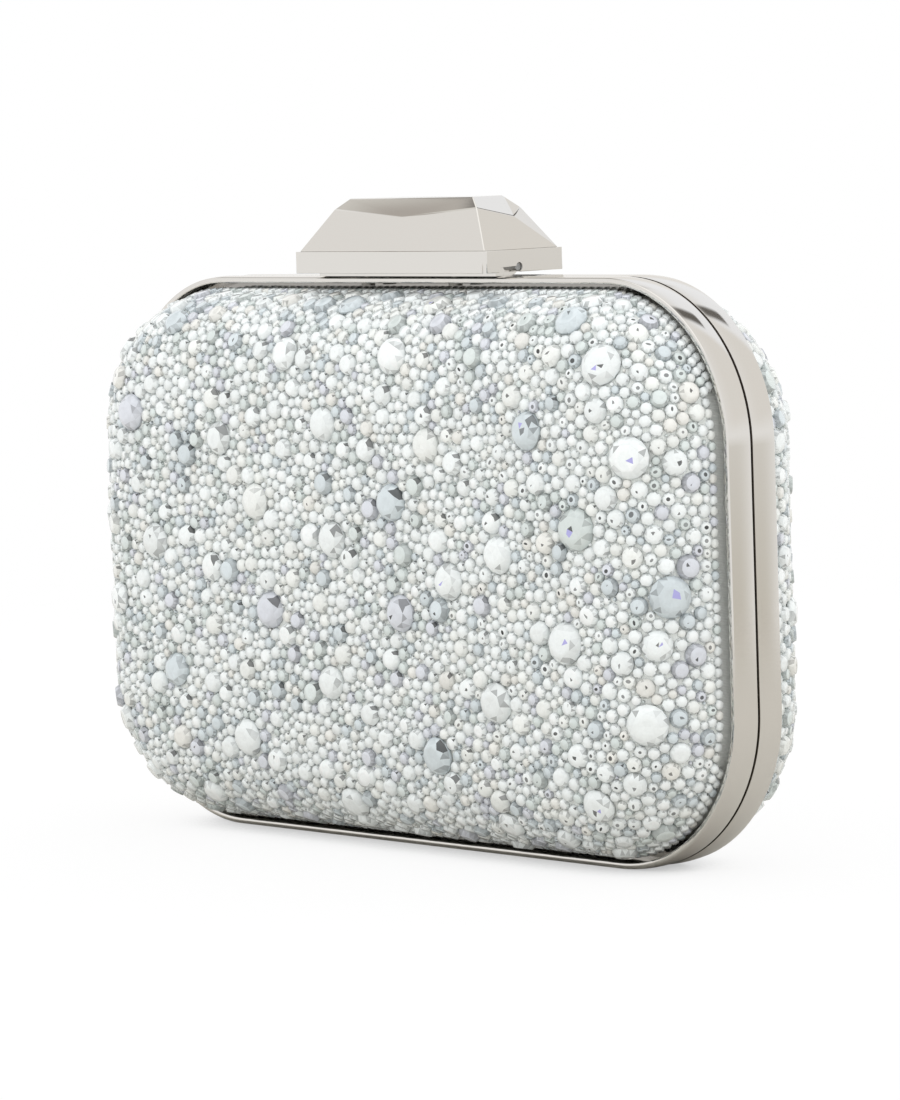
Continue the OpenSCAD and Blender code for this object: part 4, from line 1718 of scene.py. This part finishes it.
@dataclass
class Clasp:
    """The lever clasp's base and its faceted cap, with softened edges."""

    edge: float = 0.16
    edge_cuts: int = 3
    shortest: float = 1.4
    flat: float = 1.0
    sharp: float = 12.0
    folded: float = 80.0

    def softened(self, node: str, name: str) -> bpy.types.Mesh:
        """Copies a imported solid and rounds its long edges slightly.

        Args:
            node: Node that is copied.
            name: Name of the new mesh.

        Returns:
            Mesh data in metres: large flats stay flat, while the rounded edges and the small
            flats that meet at a low angle shade smooth.
        """
        bm = bmesh.new()
        bm.from_mesh(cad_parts[node].data)
        bmesh.ops.scale(bm, vec=(1 / MM,) * 3, verts=bm.verts)
        bmesh.ops.remove_doubles(bm, verts=bm.verts, dist=TIGHT)
        bmesh.ops.dissolve_limit(bm, angle_limit=math.radians(self.flat), verts=bm.verts,
                                 edges=bm.edges)
        before = len(bm.faces)
        edges = [e for e in bm.edges if e.is_manifold and e.calc_length() > self.shortest
                 and e.calc_face_angle(0.0) > math.radians(self.sharp)]
        made = bmesh.ops.bevel(
            bm, geom=edges, offset=self.edge, offset_type="OFFSET", affect="EDGES",
            segments=self.edge_cuts, profile=0.5, material=-1, clamp_overlap=True,
        )["faces"]
        for face in made:
            face.smooth = True
        flats = {f for f in bm.faces if f not in made and f.calc_area() < self.folded}
        for edge in bm.edges:
            near = edge.link_faces
            if len(near) == 2 and all(f in flats for f in near) and (
                    math.radians(self.flat) < edge.calc_face_angle(0.0)
                    < math.radians(self.sharp)):
                for face in near:
                    face.smooth = True
            elif any(f in flats for f in near):
                edge.smooth = False
        LOG.info("%s: %d edges softened on %d faces", name, len(edges), before)
        return finish_mesh(bm, name)

    def build(self) -> None:
        """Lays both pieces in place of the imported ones."""
        for word in ("housing", "cap"):
            data = self.softened(f"clasp_{word}", f"clasp_{word}_polished")
            add_piece(data, Body.CLASP, NICKEL, [f"clasp_{word}"])


@dataclass(frozen=True)
class Zone:
    """A part of the studio's walls that metal mirrors.

    Each of its edges is an axis of the mirrored direction, and the two values between which the
    zone fades in.
    """

    word: str
    light: tuple[float, float, float]
    edges: tuple[tuple[str, float, float], ...]


@dataclass
class Studio:
    """The pale floor, the soft light all round and the camera."""

    zones: tuple[Zone, ...] = (
        Zone("left wall, towards the front", (0.95, 0.94, 0.93),
             (("X", -0.4, -0.6), ("Y", 0.0, -0.3), ("Z", 0.3, 0.5))),
        Zone("rear wall", (0.90, 0.88, 0.85), (("Y", 0.3, 0.7), ("Z", 0.0, 0.2))),
        Zone("pale part of the rear wall", (1.04, 1.06, 1.1),
             (("X", 0.2, 0.06), ("Y", 0.5, 0.7), ("Z", 0.3, 0.5))),
        Zone("grey screen high on the left", (0.53, 0.50, 0.47),
             (("X", -0.4, -0.6), ("Y", 0.25, -0.1), ("Z", 0.59, 0.635))),
        Zone("left wall above the screen", (0.86, 0.85, 0.82),
             (("X", -0.4, -0.6), ("Y", 0.25, -0.1), ("Z", 0.64, 0.68))),
        Zone("dark front end of the screen", (0.20, 0.19, 0.18),
             (("X", -0.4, -0.6), ("Y", -0.165, -0.125), ("Z", 0.6, 0.64))),
        Zone("bright ceiling", (1.25, 1.25, 1.24), (("Y", 0.5, 0.3), ("Z", 0.74, 0.84))),
        Zone("narrow gap high at the rear", (0.16, 0.15, 0.14),
             (("X", -0.16, -0.08), ("X", 0.08, 0.0), ("Y", 0.5, 0.6), ("Z", 0.65, 0.67))),
        Zone("warm ground to the right", (0.69, 0.66, 0.60),
             (("X", 0.3, 0.8), ("Y", 0.0, 0.4), ("Z", 0.05, -0.12))),
    )

    place: tuple[float, float, float] = (0.7028, -0.6556, 0.138)
    yaw: float = -46.845
    pitch: float = -4.909
    roll: float = -1.883
    focal_px: float = 5113.65
    photo_h: float = 1100.0
    sensor: float = 36.0
    clip: tuple[float, float] = (0.05, 20.0)
    soft_light: float = 1.16
    floor_r: float = 0.6
    floor_sides: int = 96
    fade: tuple[float, float] = (0.28, 0.55)
    paper: str = "#d4d1cb"
    seen_paper: str = "#f9f9f9"
    floor_glow: float = 0.88
    # Painted contact shadow: reach, samples, span and darkest level of the floor's glow near the
    # bag
    contact_reach: float = 0.03
    contact_samples: int = 8
    contact: tuple[float, float] = (-0.1, 0.3)
    contact_shadow_level: float = 0.42

    def camera(self) -> None:
        """Sets the camera at the photograph's angle."""
        data = bpy.data.cameras.new("camera")
        data.sensor_fit, data.sensor_width = "AUTO", self.sensor
        data.lens = self.focal_px / self.photo_h * self.sensor
        data.clip_start, data.clip_end = self.clip
        camera = bpy.data.objects.new("camera", data)
        bpy.context.scene.collection.objects.link(camera)
        yaw, pitch, roll = (math.radians(a) for a in (self.yaw, self.pitch, self.roll))
        ahead = Vector((math.sin(yaw) * math.cos(pitch), math.cos(yaw) * math.cos(pitch),
                        math.sin(pitch)))
        right = Vector((math.cos(yaw), -math.sin(yaw), 0))
        up = right.cross(ahead)
        side = math.cos(roll) * right + math.sin(roll) * up
        crown = -math.sin(roll) * right + math.cos(roll) * up
        turn = Matrix((side, crown, -ahead)).transposed().to_4x4()
        camera.matrix_world = Matrix.Translation(self.place) @ turn
        bpy.context.scene.camera = camera

    def rise(self, low: float, high: float) -> dict:
        """Gives a Map Range node the settings of a smooth rise from 0 to 1.

        Args:
            low: Value at which the rise starts.
            high: Value at which it ends.

        Returns:
            Settings by name.
        """
        return {"interpolation_type": "SMOOTHSTEP", "From Min": low, "From Max": high}

    def world(self) -> None:
        """Lights the scene evenly from all round, and gives metal the zones to mirror."""
        world = bpy.data.worlds.new("studio")
        bpy.context.scene.world = world
        world.use_nodes = True
        tree = world.node_tree
        tree.nodes.clear()
        sky = add_node(tree, "ShaderNodeTexCoord").outputs["Generated"]
        axes = add_node(tree, "ShaderNodeSeparateXYZ", links={"Vector": sky}).outputs
        colour = None
        for zone in self.zones:
            mask = None
            for axis, low, high in zone.edges:
                edge = add_node(tree, "ShaderNodeMapRange", self.rise(low, high),
                                {"Value": axes[axis]}).outputs["Result"]
                mask = edge if mask is None else add_node(
                    tree, "ShaderNodeMath", {"operation": "MULTIPLY"}, {0: mask, 1: edge}
                ).outputs["Value"]
            node = add_node(tree, "ShaderNodeMix", {
                "data_type": "RGBA", 6: WHITE, 7: (*zone.light, 1.0),
            }, {0: mask})
            node.label = zone.word
            if colour is not None:
                tree.links.new(colour, node.inputs[6])
            colour = node.outputs[2]
        rays = add_node(tree, "ShaderNodeLightPath").outputs
        even = add_node(tree, "ShaderNodeMix", {
            "data_type": "RGBA", 6: (*(self.soft_light,) * 3, 1.0),
        }, {0: rays["Is Glossy Ray"], 7: colour})
        lit = add_node(tree, "ShaderNodeBackground", {"Strength": 1.0},
                       {"Color": even.outputs[2]})
        plain = add_node(tree, "ShaderNodeBackground", {"Color": WHITE, "Strength": 1.0})
        mix = add_node(tree, "ShaderNodeMixShader", links={
            0: rays["Is Camera Ray"], 1: lit.outputs[0], 2: plain.outputs[0]})
        add_node(tree, "ShaderNodeOutputWorld", links={"Surface": mix.outputs[0]})

    def floor(self) -> None:
        """Lays the pale floor, which runs out into the white backdrop; near the bag its glow is
        dimmed by ambient occlusion, a painted contact shadow.
        """
        bm = bmesh.new()
        bmesh.ops.create_circle(bm, cap_ends=True, segments=self.floor_sides,
                                radius=self.floor_r)
        floor = bpy.data.objects.new("floor", finish_mesh(bm, "floor", 1.0))
        bpy.context.scene.collection.objects.link(floor)
        paint = bpy.data.materials.new("pale_paper")
        paint.use_nodes = True
        tree = paint.node_tree
        tree.nodes.clear()
        place = add_node(tree, "ShaderNodeTexCoord").outputs["Object"]
        away = add_node(tree, "ShaderNodeVectorMath", {"operation": "LENGTH"}, {0: place})
        gone = add_node(tree, "ShaderNodeMapRange", self.rise(*self.fade),
                        {"Value": away.outputs["Value"]})
        rays = add_node(tree, "ShaderNodeLightPath").outputs
        tone = add_node(tree, "ShaderNodeMix", {
            "data_type": "RGBA", 6: (*linear(self.paper), 1.0),
            7: (*linear(self.seen_paper), 1.0),
        }, {0: rays["Is Camera Ray"]})
        paper = add_node(tree, "ShaderNodeBsdfDiffuse", links={"Color": tone.outputs[2]})
        # Painted contact shadow: ambient occlusion dims the floor's glow near the bag
        open_sky = add_node(tree, "ShaderNodeAmbientOcclusion", {
            "samples": self.contact_samples, "Distance": self.contact_reach})
        shade = add_node(tree, "ShaderNodeMapRange", self.rise(*self.contact),
                         {"Value": open_sky.outputs["AO"]})
        light = add_node(tree, "ShaderNodeMapRange", {"To Min": self.contact_shadow_level},
                         {"Value": shade.outputs["Result"]})
        glow = add_node(tree, "ShaderNodeEmission", {"Color": WHITE},
                        {"Strength": light.outputs["Result"]})
        share = add_node(tree, "ShaderNodeMath", {"operation": "MULTIPLY", 1: self.floor_glow},
                         {0: rays["Is Camera Ray"]})
        seen = add_node(tree, "ShaderNodeMixShader", links={
            0: share.outputs["Value"], 1: paper.outputs[0], 2: glow.outputs[0]})
        clear = add_node(tree, "ShaderNodeBsdfTransparent")
        mix = add_node(tree, "ShaderNodeMixShader", links={
            0: gone.outputs["Result"], 1: seen.outputs[0], 2: clear.outputs[0]})
        add_node(tree, "ShaderNodeOutputMaterial", links={"Surface": mix.outputs[0]})
        floor.data.materials.append(paint)

    def build(self) -> None:
        """Sets camera, light and floor, and the plain view settings."""
        self.camera()
        self.world()
        self.floor()
        bpy.context.scene.view_settings.view_transform = "Standard"


def main() -> None:
    """Builds the bag's looks."""
    logging.basicConfig(level=logging.INFO, format="%(message)s")
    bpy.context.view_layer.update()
    Studio().build()
    for body in (Body.FRONT, Body.REAR):
        Band(body).build()
        Covering(body).build()
    Clasp().build()
    Paving().build()
    dress_nodes(("front_shell", "rear_shell"), SHELL)
    dress_nodes(("front_knuckles", "rear_knuckles", "clasp_bracket"), NICKEL)
    dress_nodes(("bracket_rivets",), RIVET)
    dress_nodes(("hinge_pin", "clasp_pin", "clasp_spring",
                 "cap_screws", "clasp_hook", "hook_rivets", "catch_plate", "catch_rivets"), STEEL)


if __name__ == "__main__":
    main()
